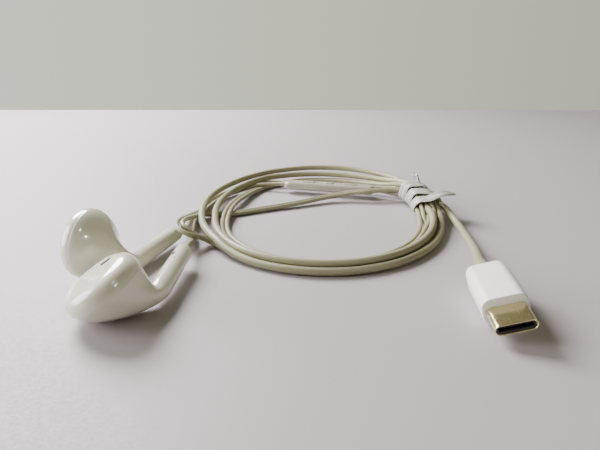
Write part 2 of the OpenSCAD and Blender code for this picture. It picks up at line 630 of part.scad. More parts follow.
// Twist tie: a flat strip with two ridges wound round the bundle, and its two
// free ends.
tie_turns = 3;
tie_steps = 12;
tie_from = 25;
tie_span = -21;
tie_start = 100;
tie_lift = 0.3;
tail_route = [[87, 51.83, 7.7], [90.6, 54.23, 6.8], [94.5, 56.93, 5.2]];
tip_route = [[77.6, 64.03, 9.2], [79, 64.63, 8.5]];
function strip_ring(p, along, out) = [for (c = [[-1, -0.5], [-0.75, 0.5], [-0.35, 0.5],
    [0, 0.2], [0.35, 0.5], [0.75, 0.5], [1, -0.5]])
  p + along * c[0] * tie_w / 2 + out * c[1] * tie_t];
function tie_wrap(f) = let (
    angle = tie_from + tie_span * f, m = coil_middle(angle), a = tie_start + 360 * tie_turns * f,
    t = unit(coil_middle(angle + 2) - coil_middle(angle - 2)), s = unit(cross([0, 0, 1], t)),
    u = cross(t, s), g = tie_lift + tie_t / 2,
    p = m + s * cos(a) * (coil_half_w(angle) + g) + u * sin(a) * (coil_half_h(angle) + g))
  strip_ring(p, -t, unit(s * cos(a) + u * sin(a)));
function tie_end(route) = let (t = headings(route)) [for (i = [0:len(route) - 1]) let (
    side = unit(cross(t[i], [0, 0, 1])))
  strip_ring(route[i], side, cross(side, t[i]))];
module twist_tie() color(tie_white) skin(concat(tie_end(tip_route),
  [for (k = [0:tie_turns * tie_steps]) tie_wrap(k / (tie_turns * tie_steps))],
  tie_end(tail_route)));

// ======================================================================
// One line for each node.
// ======================================================================
left_ear() front_shell();  // left_front_shell
left_ear() rear_shell();  // left_rear_shell
left_ear() front_mesh();  // left_front_mesh
left_ear() cap_vent_mesh();  // left_cap_vent_mesh
left_ear() stem_vent_mesh();  // left_stem_vent_mesh
left_ear() driver_frame();  // left_driver_frame
left_ear() diaphragm();  // left_diaphragm
left_ear() voice_coil();  // left_voice_coil
left_ear() magnet();  // left_magnet
left_ear() pole_plate();  // left_pole_plate
left_ear() yoke();  // left_yoke
left_ear() damping_disc();  // left_damping_disc
left_ear() terminal_board();  // left_terminal_board
left_ear() ear_strain_relief();  // left_strain_relief
right_ear() front_shell();  // right_front_shell
right_ear() rear_shell();  // right_rear_shell
right_ear() front_mesh();  // right_front_mesh
right_ear() cap_vent_mesh();  // right_cap_vent_mesh
right_ear() stem_vent_mesh();  // right_stem_vent_mesh
right_ear() driver_frame();  // right_driver_frame
right_ear() diaphragm();  // right_diaphragm
right_ear() voice_coil();  // right_voice_coil
right_ear() magnet();  // right_magnet
right_ear() pole_plate();  // right_pole_plate
right_ear() yoke();  // right_yoke
right_ear() damping_disc();  // right_damping_disc
right_ear() terminal_board();  // right_terminal_board
right_ear() ear_strain_relief();  // right_strain_relief
on_remote() remote_top_shell();
on_remote() remote_bottom_shell();
on_remote() volume_up_button();
on_remote() centre_button();
on_remote() volume_down_button();
on_remote() remote_board();
on_remote() dome_switches();
on_remote() microphone();
on_remote() remote_strain_reliefs();
splitter_body();
on_plug() plug_shell();
on_plug() plug_insulator();
on_plug() plug_contacts();
on_plug() plug_latch_springs();
on_plug() plug_boot();
on_plug() plug_board();
on_plug() converter_chip();
on_plug() plug_collar();
cable_coil();
plug_lead();
lead_pair();
left_ear_lead();
right_ear_lead();
remote_leads();
twist_tie();
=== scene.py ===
# %% [markdown]
# # Wired earphones, a lesson in cells
# The object is a pair of white open-fit earphones with short stems. Their leads join a
# thicker cable that is wound into a loose ring, held by a twist tie, and ends in a small
# oval plug. Each cell says what a piece is on the real object, how it could be made, and
# why it is made as it is here.

# %% Start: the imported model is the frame
import bpy
import json
import math
import numpy as np
from mathutils import Matrix, Vector
from mathutils.bvhtree import BVHTree


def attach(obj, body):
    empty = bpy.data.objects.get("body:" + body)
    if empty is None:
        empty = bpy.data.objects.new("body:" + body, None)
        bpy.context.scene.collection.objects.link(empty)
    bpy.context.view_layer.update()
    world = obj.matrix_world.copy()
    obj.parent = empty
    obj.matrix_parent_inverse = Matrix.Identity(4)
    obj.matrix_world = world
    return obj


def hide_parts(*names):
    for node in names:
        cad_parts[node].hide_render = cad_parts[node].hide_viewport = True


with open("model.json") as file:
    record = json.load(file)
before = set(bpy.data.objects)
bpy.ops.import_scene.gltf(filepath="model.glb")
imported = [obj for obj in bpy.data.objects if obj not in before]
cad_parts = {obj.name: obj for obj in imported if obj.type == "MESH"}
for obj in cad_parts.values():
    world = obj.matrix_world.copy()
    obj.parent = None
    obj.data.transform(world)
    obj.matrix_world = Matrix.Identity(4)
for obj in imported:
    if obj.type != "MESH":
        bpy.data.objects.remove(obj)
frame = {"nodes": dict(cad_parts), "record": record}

for name in ("Cube", "Light", "Camera"):     # what an empty Blender file starts with
    if name in bpy.data.objects:
        bpy.data.objects.remove(bpy.data.objects[name])
MM = 0.001
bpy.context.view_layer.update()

# %% [markdown]
# ## Camera and image points
# The photograph was taken from close by and a little above the table. The plug is a
# standard part, so its corners fix the distance; the ring of cable, which lies on the
# table, fixes the tilt. The camera is settled first by its place and aim, without shift,
# and the image points below say where features of the photograph are, in pixels.

# %% Camera values
IMAGE_W, IMAGE_H = 600, 450
LONG_SIDE = max(IMAGE_W, IMAGE_H)
CAMERA_AT = (41.622, -110.41, 55.5)          # mm
CAMERA_PITCH = 20.46                         # degrees below the horizon
LENS, SENSOR = 30.0, 36.0
SHIFT_X, SHIFT_Y = 0.0, 0.0

# name: (x, y, which edge or middle, pieces, reach of the search in pixels)
IMAGE_POINTS = {
    "right_head_left": (63, 303, "left", ("right_housing", "right_cap"), 14),
    "right_head_top": (126, 253, "top", ("right_housing", "right_cap"), 14),
    "right_head_bottom": (93, 322, "bottom", ("right_housing", "right_cap"), 14),
    "right_stem_right": (192, 251, "right", ("right_housing",), 8),
    "cap_slot": (105.5, 261.5, "middle", ("right_cap_grille",), 12),
    "stem_vent": (173, 253, "middle", ("right_stem_grille",), 12),
    "left_head_top": (91, 208, "top", ("left_housing", "left_cap"), 12),
    "left_head_left": (60, 247, "left", ("left_housing", "left_cap"), 14),
    "ring_left": (198.5, 217, "left", ("main_cable",), 12),
    "ring_front": (327, 276, "bottom", ("main_cable",), 10),
    "ring_back": (322, 165.5, "top", ("main_cable",), 10),
    "remote_left": (284, 184, "left", ("remote_top", "remote_bottom"), 10),
    "tie_left": (400, 195, "left", ("tie_strip",), 10),
    "tie_wire": (414.5, 175.5, "middle", ("tie_wire",), 8),
    "boot_top_left": (465.5, 274, "left", ("plug_housing",), 10),
    "boot_right": (532, 306, "right", ("plug_housing",), 10),
    "plug_nose": (501, 336, "bottom", ("plug_tube",), 10),
    "plug_nose_right": (538.6, 325, "right", ("plug_tube",), 10),
}
print("image points", len(IMAGE_POINTS))

# %% Make the camera
def new_object(name, data):
    """An object with its data, linked to the scene."""
    thing = bpy.data.objects.new(name, data)
    bpy.context.scene.collection.objects.link(thing)
    return thing


camera_data = bpy.data.cameras.new("camera")
camera_data.lens, camera_data.sensor_width, camera_data.sensor_fit = LENS, SENSOR, "AUTO"
camera_data.shift_x, camera_data.shift_y = SHIFT_X, SHIFT_Y
camera_data.clip_start, camera_data.clip_end = 0.005, 20
camera = new_object("camera", camera_data)
camera.location = Vector(CAMERA_AT) * MM
camera.rotation_euler = (math.radians(90 - CAMERA_PITCH), 0, 0)
bpy.context.scene.camera = camera
bpy.context.view_layer.update()
EYE = np.array(camera.matrix_world.translation)
AXES = np.array(camera.matrix_world.to_3x3())
PIXELS = LONG_SIDE * LENS / SENSOR           # the lens, in pixels


def pixel_ray(x, y):
    """The direction, in the frame, of the ray through an image point."""
    local = np.array([x - IMAGE_W / 2 + SHIFT_X * LONG_SIDE,
                      IMAGE_H / 2 - y + SHIFT_Y * LONG_SIDE, -PIXELS])
    ray = AXES @ local
    return ray / np.linalg.norm(ray)


def to_pixels(points):
    """Where points in metres show, in pixels."""
    local = (np.asarray(points, float) - EYE) @ AXES
    k = PIXELS / -local[:, 2]
    return np.stack([local[:, 0] * k + IMAGE_W / 2 - SHIFT_X * LONG_SIDE,
                     IMAGE_H / 2 - local[:, 1] * k + SHIFT_Y * LONG_SIDE], 1)


middle_ray = pixel_ray(IMAGE_W / 2, IMAGE_H / 2)
print("camera looks along", [round(float(v), 3) for v in middle_ray])

# %% [markdown]
# ## Turning numbers into meshes
# Most pieces here are skins: a row of rings, each with the same number of points, joined
# by quads. A skin can be closed at both ends or looped back into itself, which gives a
# shell with a wall. Blender could also do this with a loft add-on or by hand, but rings
# from a formula keep the same shape as the solid model and stay smooth at any fineness.

# %% Frames for the pieces' own axes
def turned_frame(at, degrees, mirror=False):
    """A 4x4 place: turned about X, then Y, then Z, then moved, in mm."""
    x, y, z = (math.radians(d) for d in degrees)
    m = Matrix.Translation(at) @ Matrix.Rotation(z, 4, "Z") @ Matrix.Rotation(y, 4, "Y")
    m = m @ Matrix.Rotation(x, 4, "X")
    return np.array(m @ Matrix.Diagonal((1, -1, 1, 1)) if mirror else m)


EARS = {"left": turned_frame((-9.29, 1.75, 8.91), (-83.11, -3.79, 168.7), mirror=True),
        "right": turned_frame((0.85, -17.14, 6.91), (-114.67, -58.23, 193.15))}
REMOTE = turned_frame((52.45, 72.03, 2.8), (0, 0, -13.5))
PLUG = (turned_frame((83.5, -21.37, 3.95), (0, 0, -4.5)) @ turned_frame((0, 0, 0), (1.5, 0, 0))
        @ turned_frame((0, 0, 0), (0, -17, 0)))


def placed(at, x, z):
    """A 4x4 place with its X and Z along two given directions."""
    x, z = np.array(x, float), np.array(z, float)
    m = np.eye(4)
    m[:3, 0], m[:3, 1], m[:3, 2], m[:3, 3] = x, np.cross(z, x), z, at
    return m


def moved(points, place):
    """Points carried along by a 4x4 place."""
    points = np.asarray(points, float)
    return points @ place[:3, :3].T + place[:3, 3]


def unit(v):
    """A vector, or each row of an array, at length one."""
    return v / np.linalg.norm(v, axis=-1, keepdims=True)

# %% Skins over rings
def skin(rings, looped=False):
    """Points and faces of a closed skin over rings of equal length."""
    rings = [np.asarray(r, float) for r in rings]
    n, m = len(rings[0]), len(rings)
    faces = []
    for i in range(m if looped else m - 1):
        a, b = i * n, ((i + 1) % m) * n
        faces += [(a + j, a + (j + 1) % n, b + (j + 1) % n, b + j) for j in range(n)]
    if not looped:
        faces += [tuple(range(n - 1, -1, -1)), tuple(range((m - 1) * n, m * n))]
    return np.concatenate(rings), faces


def turned(profile, sides=56, looped=True):
    """A skin turned about Z from (radius, height) pairs."""
    a = np.arange(sides) * 2 * math.pi / sides
    return skin([np.stack([r * np.cos(a), r * np.sin(a), np.full(sides, z)], 1)
                 for r, z in profile], looped)


def placed_skin(place, points_and_faces):
    """A skin carried along by a 4x4 place."""
    points, faces = points_and_faces
    return moved(points, place), faces


def outward(points, faces):
    """The faces, turned round where the signed volume is negative."""
    volume = 0.0
    for f in faces:
        for k in range(1, len(f) - 1):
            volume += np.dot(points[f[0]], np.cross(points[f[k]], points[f[k + 1]]))
    return faces if volume > 0 else [tuple(reversed(f)) for f in faces]

# %% Objects, and cutting them
def rows_of(items, name, kind=float):
    """One three-number attribute of a mesh's vertices or triangles, as rows."""
    values = np.empty(len(items) * 3, kind)
    items.foreach_get(name, values)
    return values.reshape(-1, 3)


def shade(mesh, sharp):
    """Smooth faces, except over edges sharper than an angle in degrees."""
    mesh.polygons.foreach_set("use_smooth", [True] * len(mesh.polygons))
    mesh.set_sharp_from_angle(angle=math.radians(sharp))


def mesh_object(name, skins, sharp=35):
    """An object in mm made of skins, for cutting or finishing."""
    points, faces, base = [], [], 0
    for p, f in skins:
        faces += [tuple(i + base for i in g) for g in outward(p, f)]
        points.append(p)
        base += len(p)
    mesh = bpy.data.meshes.new(name)
    mesh.from_pydata(np.concatenate(points).tolist(), [], faces)
    mesh.validate()
    shade(mesh, sharp)
    return new_object(name, mesh)


def baked(piece, sharp=35):
    """Gives the piece its evaluated mesh and takes its modifiers off."""
    bpy.context.view_layer.update()
    graph = bpy.context.evaluated_depsgraph_get()
    mesh = bpy.data.meshes.new_from_object(piece.evaluated_get(graph), depsgraph=graph)
    piece.modifiers.clear()
    piece.data = mesh
    shade(mesh, sharp)


def cut(piece, tools, sharp=40):
    """Takes each tool's volume out of the piece."""
    for tool in tools:
        cutter = piece.modifiers.new("cut", "BOOLEAN")
        cutter.operation, cutter.solver, cutter.object = "DIFFERENCE", "EXACT", tool
    baked(piece, sharp)
    for tool in tools:
        bpy.data.objects.remove(tool)

# %% [markdown]
# ## Finishes
# Moulded plastic is never one flat colour: the tone drifts a little over the part, the
# gloss is broken by a very fine orange peel, and soft cable skin is duller and slightly
# dusty. Each finish is a small node tree on Object coordinates: a broad noise mixes two
# close colours, and a fine one moves the roughness and gives the bump. Values that are
# the same all over (metal, coat, sheen) sit on the shader's own sockets. One helper adds
# a node with its links, here and in every later tree.

# %% A helper that adds a node, and sums between nodes
def feed(n, inputs):
    """Sets a node's inputs; each is a number, a Value to link, or a list of Values."""
    for key, value in inputs.items():
        for one in value if isinstance(value, list) else [value]:
            if isinstance(one, Value):
                n.id_data.links.new(one.socket, n.inputs[key])
            else:
                n.inputs[key].default_value = one


def add(tree, kind, inputs=None, **settings):
    """Adds a node and returns its outputs as Values."""
    n = tree.nodes.new(kind)
    for key, value in settings.items():
        setattr(n, key, value)
    feed(n, inputs or {})
    return [Value(s) for s in n.outputs if s.enabled]


def math_node(operation, *terms):
    """One Math node; each term is a number or a Value."""
    tree = next(t.socket.id_data for t in terms if isinstance(t, Value))
    return add(tree, "ShaderNodeMath", dict(enumerate(terms)), operation=operation)[0]


class Value:
    """What comes out of a node. A sum written with it adds Math nodes to its tree."""

    def __init__(self, socket):
        self.socket = socket

    def __add__(self, other):
        return math_node("ADD", self, other)

    def __sub__(self, other):
        return math_node("SUBTRACT", self, other)

    def __rsub__(self, other):
        return math_node("SUBTRACT", other, self)

    def __mul__(self, other):
        return math_node("MULTIPLY", self, other)

    def __truediv__(self, other):
        return math_node("DIVIDE", self, other)

    def __rtruediv__(self, other):
        return math_node("DIVIDE", other, self)

    def __pow__(self, other):
        return math_node("POWER", self, other)

# %% The tree that every finish starts from
GENERATED, OBJECT = 0, 3                     # outputs of a Texture Coordinate node


def finish_tree(name, light, dark, rough, drift=90.0, grain=2600.0, bump=0.03,
                stretch=(1, 1, 1), metal=0.0, depth=0.00002, **constants):
    """light and dark are linear colours; rough is a pair; grain and drift are per metre."""
    m = bpy.data.materials.new(name)
    m.use_nodes = True
    t = m.node_tree
    place = add(t, "ShaderNodeTexCoord")[OBJECT]
    stretched = add(t, "ShaderNodeMapping", {"Vector": place, "Scale": stretch})[0]
    broad = add(t, "ShaderNodeTexNoise", {"Vector": place, "Scale": drift, "Detail": 3})[0]
    fine = add(t, "ShaderNodeTexNoise", {
        "Vector": stretched, "Scale": grain, "Detail": 2})[0]
    colour = add(t, "ShaderNodeMix", {"Factor": broad, "A": (*light, 1), "B": (*dark, 1)},
                 data_type="RGBA")[0]
    gloss = add(t, "ShaderNodeMapRange", {
        "Value": fine, "From Min": 0.3, "From Max": 0.7, "To Min": rough[0],
        "To Max": rough[1]})[0]
    relief = add(t, "ShaderNodeBump", {
        "Height": fine, "Strength": bump, "Distance": depth})[0]
    feed(t.nodes["Principled BSDF"], {
        "Base Color": colour, "Roughness": gloss, "Normal": relief, "Metallic": metal,
        **{socket.replace("_", " "): value for socket, value in constants.items()}})
    return m

# %% The finishes
# name: slot in the record, light, dark, roughness, and what differs from the usual
FINISH_TABLE = {
    "ear_gloss": ("shell_white", (0.84, 0.83, 0.69), (0.78, 0.77, 0.62), (0.18, 0.26), dict(
        drift=70, grain=1500, bump=0.04, Coat_Weight=1.0, Coat_Roughness=0.05)),
    # The remote and its keys are the ears' white plastic, coloured darker: painted shade, for
    # the shade of the strands round the remote.
    "remote_satin_painted_shade": ("shell_white", (0.45, 0.435, 0.36), (0.39, 0.375, 0.305), (0.26, 0.38),
                     dict(drift=80, grain=2000, bump=0.08, Coat_Weight=0.4,
                          Coat_Roughness=0.15)),
    "boot_satin": ("boot_white", (0.90, 0.90, 0.87), (0.85, 0.85, 0.82), (0.34, 0.46), dict(
        drift=60, grain=3200, bump=0.12)),
    "cable_skin": ("cable_ivory", (0.33, 0.315, 0.185), (0.275, 0.26, 0.145), (0.38, 0.52),
                   dict(drift=50, grain=2400, bump=0.14, Sheen_Weight=0.12,
                        Sheen_Roughness=0.5)),
    "tie_matt": ("tie_white", (0.47, 0.47, 0.42), (0.41, 0.41, 0.365), (0.42, 0.58), dict(
        drift=160, grain=4200, bump=0.2)),
    "plug_gold": ("gold_shell", (0.78, 0.70, 0.43), (0.68, 0.60, 0.36), (0.16, 0.28), dict(
        drift=160, grain=700, stretch=(9, 1, 9), metal=1.0)),
    "contact_gold": ("contact_metal", (0.78, 0.60, 0.28), (0.66, 0.48, 0.2), (0.18, 0.3),
                     dict(drift=500, grain=5000, bump=0.05, metal=1.0)),
    "steel": ("magnet_steel", (0.5, 0.5, 0.49), (0.42, 0.42, 0.41), (0.26, 0.42), dict(
        drift=300, bump=0.1, stretch=(1, 6, 1), metal=1.0)),
    "copper_wire": ("copper", (0.62, 0.26, 0.12), (0.5, 0.18, 0.07), (0.25, 0.4), dict(
        drift=400, grain=9000, bump=0.5, metal=1.0)),
    "black_plastic": ("dark_plastic", (0.018, 0.018, 0.019), (0.011, 0.011, 0.012),
                      (0.4, 0.6), dict(drift=300, grain=6000, bump=0.2)),
    "grille_black": ("dark_mesh", (0.03, 0.03, 0.03), (0.015, 0.015, 0.015), (0.35, 0.5),
                     dict(drift=900, grain=8000, bump=0.1, metal=0.4)),
    "clear_film": ("film", (0.6, 0.6, 0.56), (0.5, 0.5, 0.47), (0.15, 0.3), dict(
        drift=300, grain=3000, bump=0.1)),
    "felt": ("felt", (0.42, 0.42, 0.4), (0.28, 0.28, 0.27), (0.85, 0.95), dict(
        drift=900, grain=9000, bump=0.9, depth=0.00008, Sheen_Weight=0.4)),
    "board_lacquer": ("board_green", (0.015, 0.1, 0.045), (0.01, 0.07, 0.03), (0.25, 0.4),
                      dict(drift=700, grain=3000, bump=0.15)),
}
FINISH = {name: finish_tree(name, *look, **rest)
          for name, (slot, *look, rest) in FINISH_TABLE.items()}
print("finishes", len(FINISH))

# %% Finishes for the solids that stay
SLOT_FINISH = {}
for name, (slot, *look) in FINISH_TABLE.items():
    SLOT_FINISH.setdefault(slot, name)       # the first finish of a slot is the usual one
for row in frame["record"]["subparts"]:
    solid = frame["nodes"][row["node"]]
    solid.data.materials.clear()
    solid.data.materials.append(FINISH[SLOT_FINISH[row["material_slot"]]])

# %% The last step of every piece
made = {}


def finish_piece(piece, place, finish, *stands_for, body="earphones", slot=None):
    """Puts the mesh in its place in metres, finishes it, hangs it on its body and keeps it
    among the made pieces.
    """
    scale = Matrix.Diagonal((MM, MM, MM, 1)) @ Matrix(place.tolist())
    piece.data.transform(scale)
    if scale.determinant() < 0:
        piece.data.flip_normals()
    piece.data.materials.clear()
    piece.data.materials.append(FINISH[finish])
    piece.data.update()
    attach(piece, body)
    if stands_for:
        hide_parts(*stands_for)
    made[piece.name] = piece
    print(piece.name, "rides on", body, "with", len(piece.data.vertices), "vertices")

# %% [markdown]
# ## Geometry Nodes, built in the script
# A tree is made of nodes and links like any other. Its inputs are named for what they
# set, and the modifier's values are written by the socket's identifier. When the tree
# has run once, its result becomes a plain mesh and the modifier is taken off.

# %% Helpers for trees
SOCKETS = {float: "NodeSocketFloat", int: "NodeSocketInt", tuple: "NodeSocketVector"}


def new_tree(name, inputs):
    """A tree with one input for each named value; returns (tree, inputs, output)."""
    tree = bpy.data.node_groups.new(name, "GeometryNodeTree")
    face = tree.interface
    face.new_socket("Geometry", in_out="INPUT", socket_type="NodeSocketGeometry")
    for label, value in inputs.items():
        kind = SOCKETS.get(type(value), "NodeSocketMaterial")
        socket = face.new_socket(label, in_out="INPUT", socket_type=kind)
        if type(value) in SOCKETS:
            socket.default_value = value
    face.new_socket("Geometry", in_out="OUTPUT", socket_type="NodeSocketGeometry")
    group = tree.nodes.new("NodeGroupInput")

    def given(label):
        """One of the tree's inputs."""
        return Value(group.outputs[label])

    return tree, given, tree.nodes.new("NodeGroupOutput")


def end_tree(tree, given, out, geometry):
    """Realize Instances, Set Material, output."""
    real = add(tree, "GeometryNodeRealizeInstances", {0: geometry})[0]
    dressed = add(tree, "GeometryNodeSetMaterial", {
        "Geometry": real, "Material": given("Finish")})[0]
    feed(out, {0: dressed})
    print("tree", tree.name, "of", len(tree.nodes), "nodes")


def run_tree(name, tree, values, start=None):
    """Runs the tree on a new object and returns the object with its plain mesh."""
    piece = new_object(name, start or bpy.data.meshes.new(name))
    modifier = piece.modifiers.new("tree", "NODES")
    modifier.node_group = tree
    for item in tree.interface.items_tree:
        if item.item_type == "SOCKET" and item.in_out == "INPUT" and item.name in values:
            modifier[item.identifier] = values[item.name]
    baked(piece)
    return piece

# %% [markdown]
# ## The cable, first as facts
# The main cable is 2.1 mm thick and comes from the plug. It goes through the tie, round
# the ring twice and ends in the splitter, which hides in the tie. Two leads of 1.4 mm
# leave the splitter, cross the ring, turn back in a hairpin by the ears, run round the
# ring with the cable, and end in the two stems; the right-hand one carries the remote.
# A table for each strand gives where it lies: either points on the table in mm, or an
# angle on the ring, how far inside the ring's outline, and how high. The same plug lead,
# hairpin and lead ends are tubes in the solid model.

# %% The ring and the strands' tables
RING_AT, RING_HALF = np.array([48.35, 47.43]), np.array([38.7, 45.5])
CABLE_D, LEAD_D = 2.1, 1.4
LEAD_APART = 0.76                            # each lead's distance from the pair's middle

PLUG_LEAD = [(84.68, -6.42, 4.34), (84.91, -3.43, 4.42), (85.09, -1.24, 4.48),
             (86.3, 4.43, 4.1), (88, 11.93, 3), (89.6, 21.43, 1.8), (90.4, 32.93, 1.6),
             (89.8, 41.93, 2.8), (88, 48.43, 4)]
FIRST_TURN = [(15, 1.9, 4.3), (30, .8, 4.9), (45, .2, 5.2), (60, -.2, 5.2),
              (75, -.3, 5.2), (90, .1, 5.2), (103, .5, 5.1), (120, .5, 4.9),
              (135, .4, 4.6), (150, .2, 4.2), (165, 0, 3.9), (180, 0, 3.5), (190, 0, 3.3),
              (200, .1, 2.9), (210, .1, 2.9), (219, .1, 2.8), (228, .1, 1.8),
              (240, .1, 1.15), (255, .2, 1.1), (270, .2, 1.1), (285, .1, 1.1),
              (300, 0, 1.1), (315, 0, 1.1), (328, 0, 1.1), (340, .3, 1.6),
              (350, 1.0, 2.8), (360, 2.0, 4.5), (375, 2.9, 6.1)]
SECOND_TURN = [(390, 2.6, 5.2), (405, 2.4, 4.0), (420, 2.5, 3.4), (435, 2.6, 3.1),
               (450, 2.6, 3.1), (465, 2.6, 3.1), (480, 2.7, 3.0), (495, 2.8, 2.8),
               (510, 3.0, 2.7), (525, 3.6, 2.6), (540, 4.2, 2.6), (552, 4.3, 2.5),
               (562, 3.8, 2.5), (575, 2.9, 2.5), (588, 2.2, 2.5), (600, 2.0, 2.45),
               (615, 2.0, 2.45), (630, 2.0, 2.45), (645, 2.0, 2.45), (660, 2.0, 2.45),
               (675, 2.1, 2.45), (690, 2.3, 2.5), (702, 2.8, 2.9), (712, 3.5, 3.4),
               (722, 4.2, 3.8), (730, 4.3, 3.8)]
# The pair of leads: splitter, across the ring, hairpin.
PAIR_START = [(81.6, 60.93, 3.9), (80.3, 63.03, 3.9), (76.5, 64.63, 3.9),
              (64.83, 63.7, 3.5), (59.82, 64.14, 2.8), (52.49, 62.99, 1.9),
              (41.62, 57.85, 1.2), (31.27, 53.25, .8), (24.67, 50.09, .75),
              (20.2, 47.81, .75), (15.07, 46.36, .9), (11.41, 46.51, 1.2),
              (9.03, 43.62, 2.2), (7.8, 34.55, 4.2), (6.99, 28.23, 5.5),
              (7.18, 23.75, 5.9), (8.27, 20.38, 5.8), (10.04, 18.64, 5.1),
              (11.89, 19.38, 4.0), (13.87, 21.7, 2.5), (16.1, 22.4, 1.2),
              (19.33, 19.77, .75)]
# Then round the ring once and a half, beside and under the cable.
PAIR_TURNS = [(233, 2.65, .75), (245, 2.65, .72), (260, 2.65, .72), (275, 2.65, .72),
              (290, 2.65, .72), (305, 2.65, .72), (318, 2.7, .75), (330, 2.9, 1.0),
              (340, 3.2, 1.8), (350, 3.9, 3.0), (360, 4.9, 4.3), (375, 5.3, 5.2),
              (390, 4.6, 3.9), (405, 4.2, 2.5), (420, 4.2, 1.6), (435, 4.3, 1.2),
              (450, 4.2, 1.0), (465, 4.3, .9), (480, 4.8, .9), (492, 5.8, 1.0),
              (503, 7.2, 1.4), (515, 8.4, 1.8), (529, 8.5, 1.9), (547, 7.9, 1.6),
              (562, 6.5, 1.1), (575, 5.7, .8), (590, 5.45, .72), (605, 5.45, .72),
              (620, 5.45, .72), (635, 5.45, .72), (650, 5.45, .72), (665, 5.4, .72),
              (680, 5.2, .8), (693, 5.0, 1.3), (705, 4.9, 2.4), (716, 5.2, 3.5),
              (726, 5.5, 4.1), (736, 5.6, 4.1)]
RIGHT_END = [(77.6, 63.83, 3.6), (73.6, 66.33, 3.2), (70.7, 67.65, 2.85),
             (69.22, 68.0, 2.8), (60.8, 70.03, 2.8), (52.45, 72.03, 2.8),
             (44.1, 74.03, 2.8), (35.68, 76.06, 2.8), (34.2, 76.41, 2.75),
             (30, 77.23, 2.3), (25, 77.23, 1.7), (18.5, 73.13, 1.0), (13.4, 65.43, .8),
             (10.6, 56.43, .8), (8.9, 48.43, .8), (8.4, 41.43, .8), (8.8, 35.93, .8),
             (9.8, 29.93, .8), (10.9, 24.93, 1.1), (11.7, 19.93, 2.3), (12.0, 15.43, 3.7),
             (11.98, 12.63, 4.2), (11.93, 11.23, 4.33), (11.86, 9.63, 4.29),
             (11.77, 8.2, 4.23), (11.69, 6.8, 4.17)]
LEFT_END = [(79.2, 66.03, 3.8), (74.5, 69.43, 3.2), (68, 72.83, 2.6), (56, 75.93, 2.0),
            (42, 79.63, 1.5), (30, 82.03, 1.1), (21, 79.43, .8), (14.3, 72.43, .8),
            (10, 63.43, .8), (8.2, 54.43, .8), (6.6, 45.43, .8), (6.3, 38.93, .8),
            (6.9, 33.43, 1.3), (7.1, 29.73, 2.4), (6.8, 26.83, 3.05), (6.38, 25.51, 3.1),
            (5.94, 24.16, 3.05), (5.51, 22.83, 3.0)]
print("ring", *(2 * RING_HALF), "mm across, in", len(FIRST_TURN + SECOND_TURN), "rows")


def on_ring(table):
    """Rows of angle, inward distance and height become points."""
    rows = []
    for angle, inward, height in table:
        c, s = math.cos(math.radians(angle)), math.sin(math.radians(angle))
        out = unit(np.array([RING_HALF[1] * c, RING_HALF[0] * s]))
        at = RING_AT + RING_HALF * (c, s) - out * inward
        rows.append((at[0], at[1], height))
    return rows


def beside(points, gap):
    """The same route, moved sideways on the table."""
    p = np.array(points, float)
    t = np.gradient(p, axis=0)
    p[:, :2] += gap * unit(np.stack([t[:, 1], -t[:, 0]], 1))
    return p.tolist()

# %% A smooth line through points, at even steps
STEP = 0.8                                   # mm between the points of a settled line


def run_of(line):
    """How far along the line each of its points is."""
    return np.r_[0, np.cumsum(np.linalg.norm(np.diff(line, axis=0), axis=1))]


def even(line, step):
    """The same line with points at even steps."""
    s = run_of(line)
    u = np.linspace(0, s[-1], int(round(s[-1] / step)) + 1)
    return np.stack([np.interp(u, s, line[:, k]) for k in range(3)], 1)


def through(points):
    """Catmull-Rom with centripetal spacing, which never loops between close points."""
    p = [np.array(q, float) for q in points]
    p = [2 * p[0] - p[1]] + p + [2 * p[-1] - p[-2]]
    line = []
    for a, b, c, d in zip(p, p[1:], p[2:], p[3:]):
        t1 = np.linalg.norm(b - a) ** 0.5
        t2 = t1 + np.linalg.norm(c - b) ** 0.5
        t3 = t2 + np.linalg.norm(d - c) ** 0.5
        for t in np.linspace(t1, t2, max(3, int((t2 - t1) ** 2 / STEP)), endpoint=False):
            e, f = a + (b - a) * t / t1, b + (c - b) * (t - t1) / (t2 - t1)
            g = c + (d - c) * (t - t2) / (t3 - t2)
            h = e + (f - e) * t / t2
            k = f + (g - f) * (t - t1) / (t3 - t1)
            line.append(h + (k - h) * (t - t1) / (t2 - t1))
    return even(np.array(line + [p[-2]]), STEP)


pair = PAIR_START + on_ring(PAIR_TURNS)
strands = {
    "main_cable": through(PLUG_LEAD + on_ring(FIRST_TURN + SECOND_TURN)),
    "right_lead": through(beside(pair, -LEAD_APART) + RIGHT_END),
    "left_lead": through(beside(pair, LEAD_APART) + LEFT_END),
}
RADII = {"main_cable": CABLE_D / 2, "right_lead": LEAD_D / 2, "left_lead": LEAD_D / 2}
for key, line in strands.items():
    print(key, "about", round(run_of(line)[-1]), "mm before settling")

# %% [markdown]
# ## Letting the strands settle
# Strands laid down by tables run into each other by a fraction of a millimetre. A rope
# solver or Blender's cloth would move the whole ring; a person would just nudge each
# strand off its neighbour. That is what this loop does: where two strands overlap, both
# move half of the overlap apart, the move is spread along the strand so that no kink
# appears, and nothing sinks into the table, the remote, the stems or the splitter.

# %% What the strands must stay clear of
SPLITTER_AT, SPLITTER_ALONG = np.array([82.02, 58.36, 4.3]), np.array([-.222, .975, 0])
SPLITTER_W, SPLITTER_H = 3.8, 3.0
REMOTE_HALF = np.array([17.25, 2.5, 1.5])
# one end, other end, radius: the left stem, the right stem, the splitter
RODS = [(np.array([5.94, 24.16, 3.05]), np.array([-.1, 5.63, 2.41]), 2.3),
        (np.array([11.77, 8.2, 4.23]), np.array([10.6, -11.27, 3.43]), 2.3),
        (np.array([82.8, 54.33, 3.7]), np.array([81.0, 61.63, 3.7]), 1.75)]
ROD_PUSH, REMOTE_PUSH, PUSH = 0.7, 0.6, 1.6  # how much of an overlap one round takes away
TINY = 1e-9


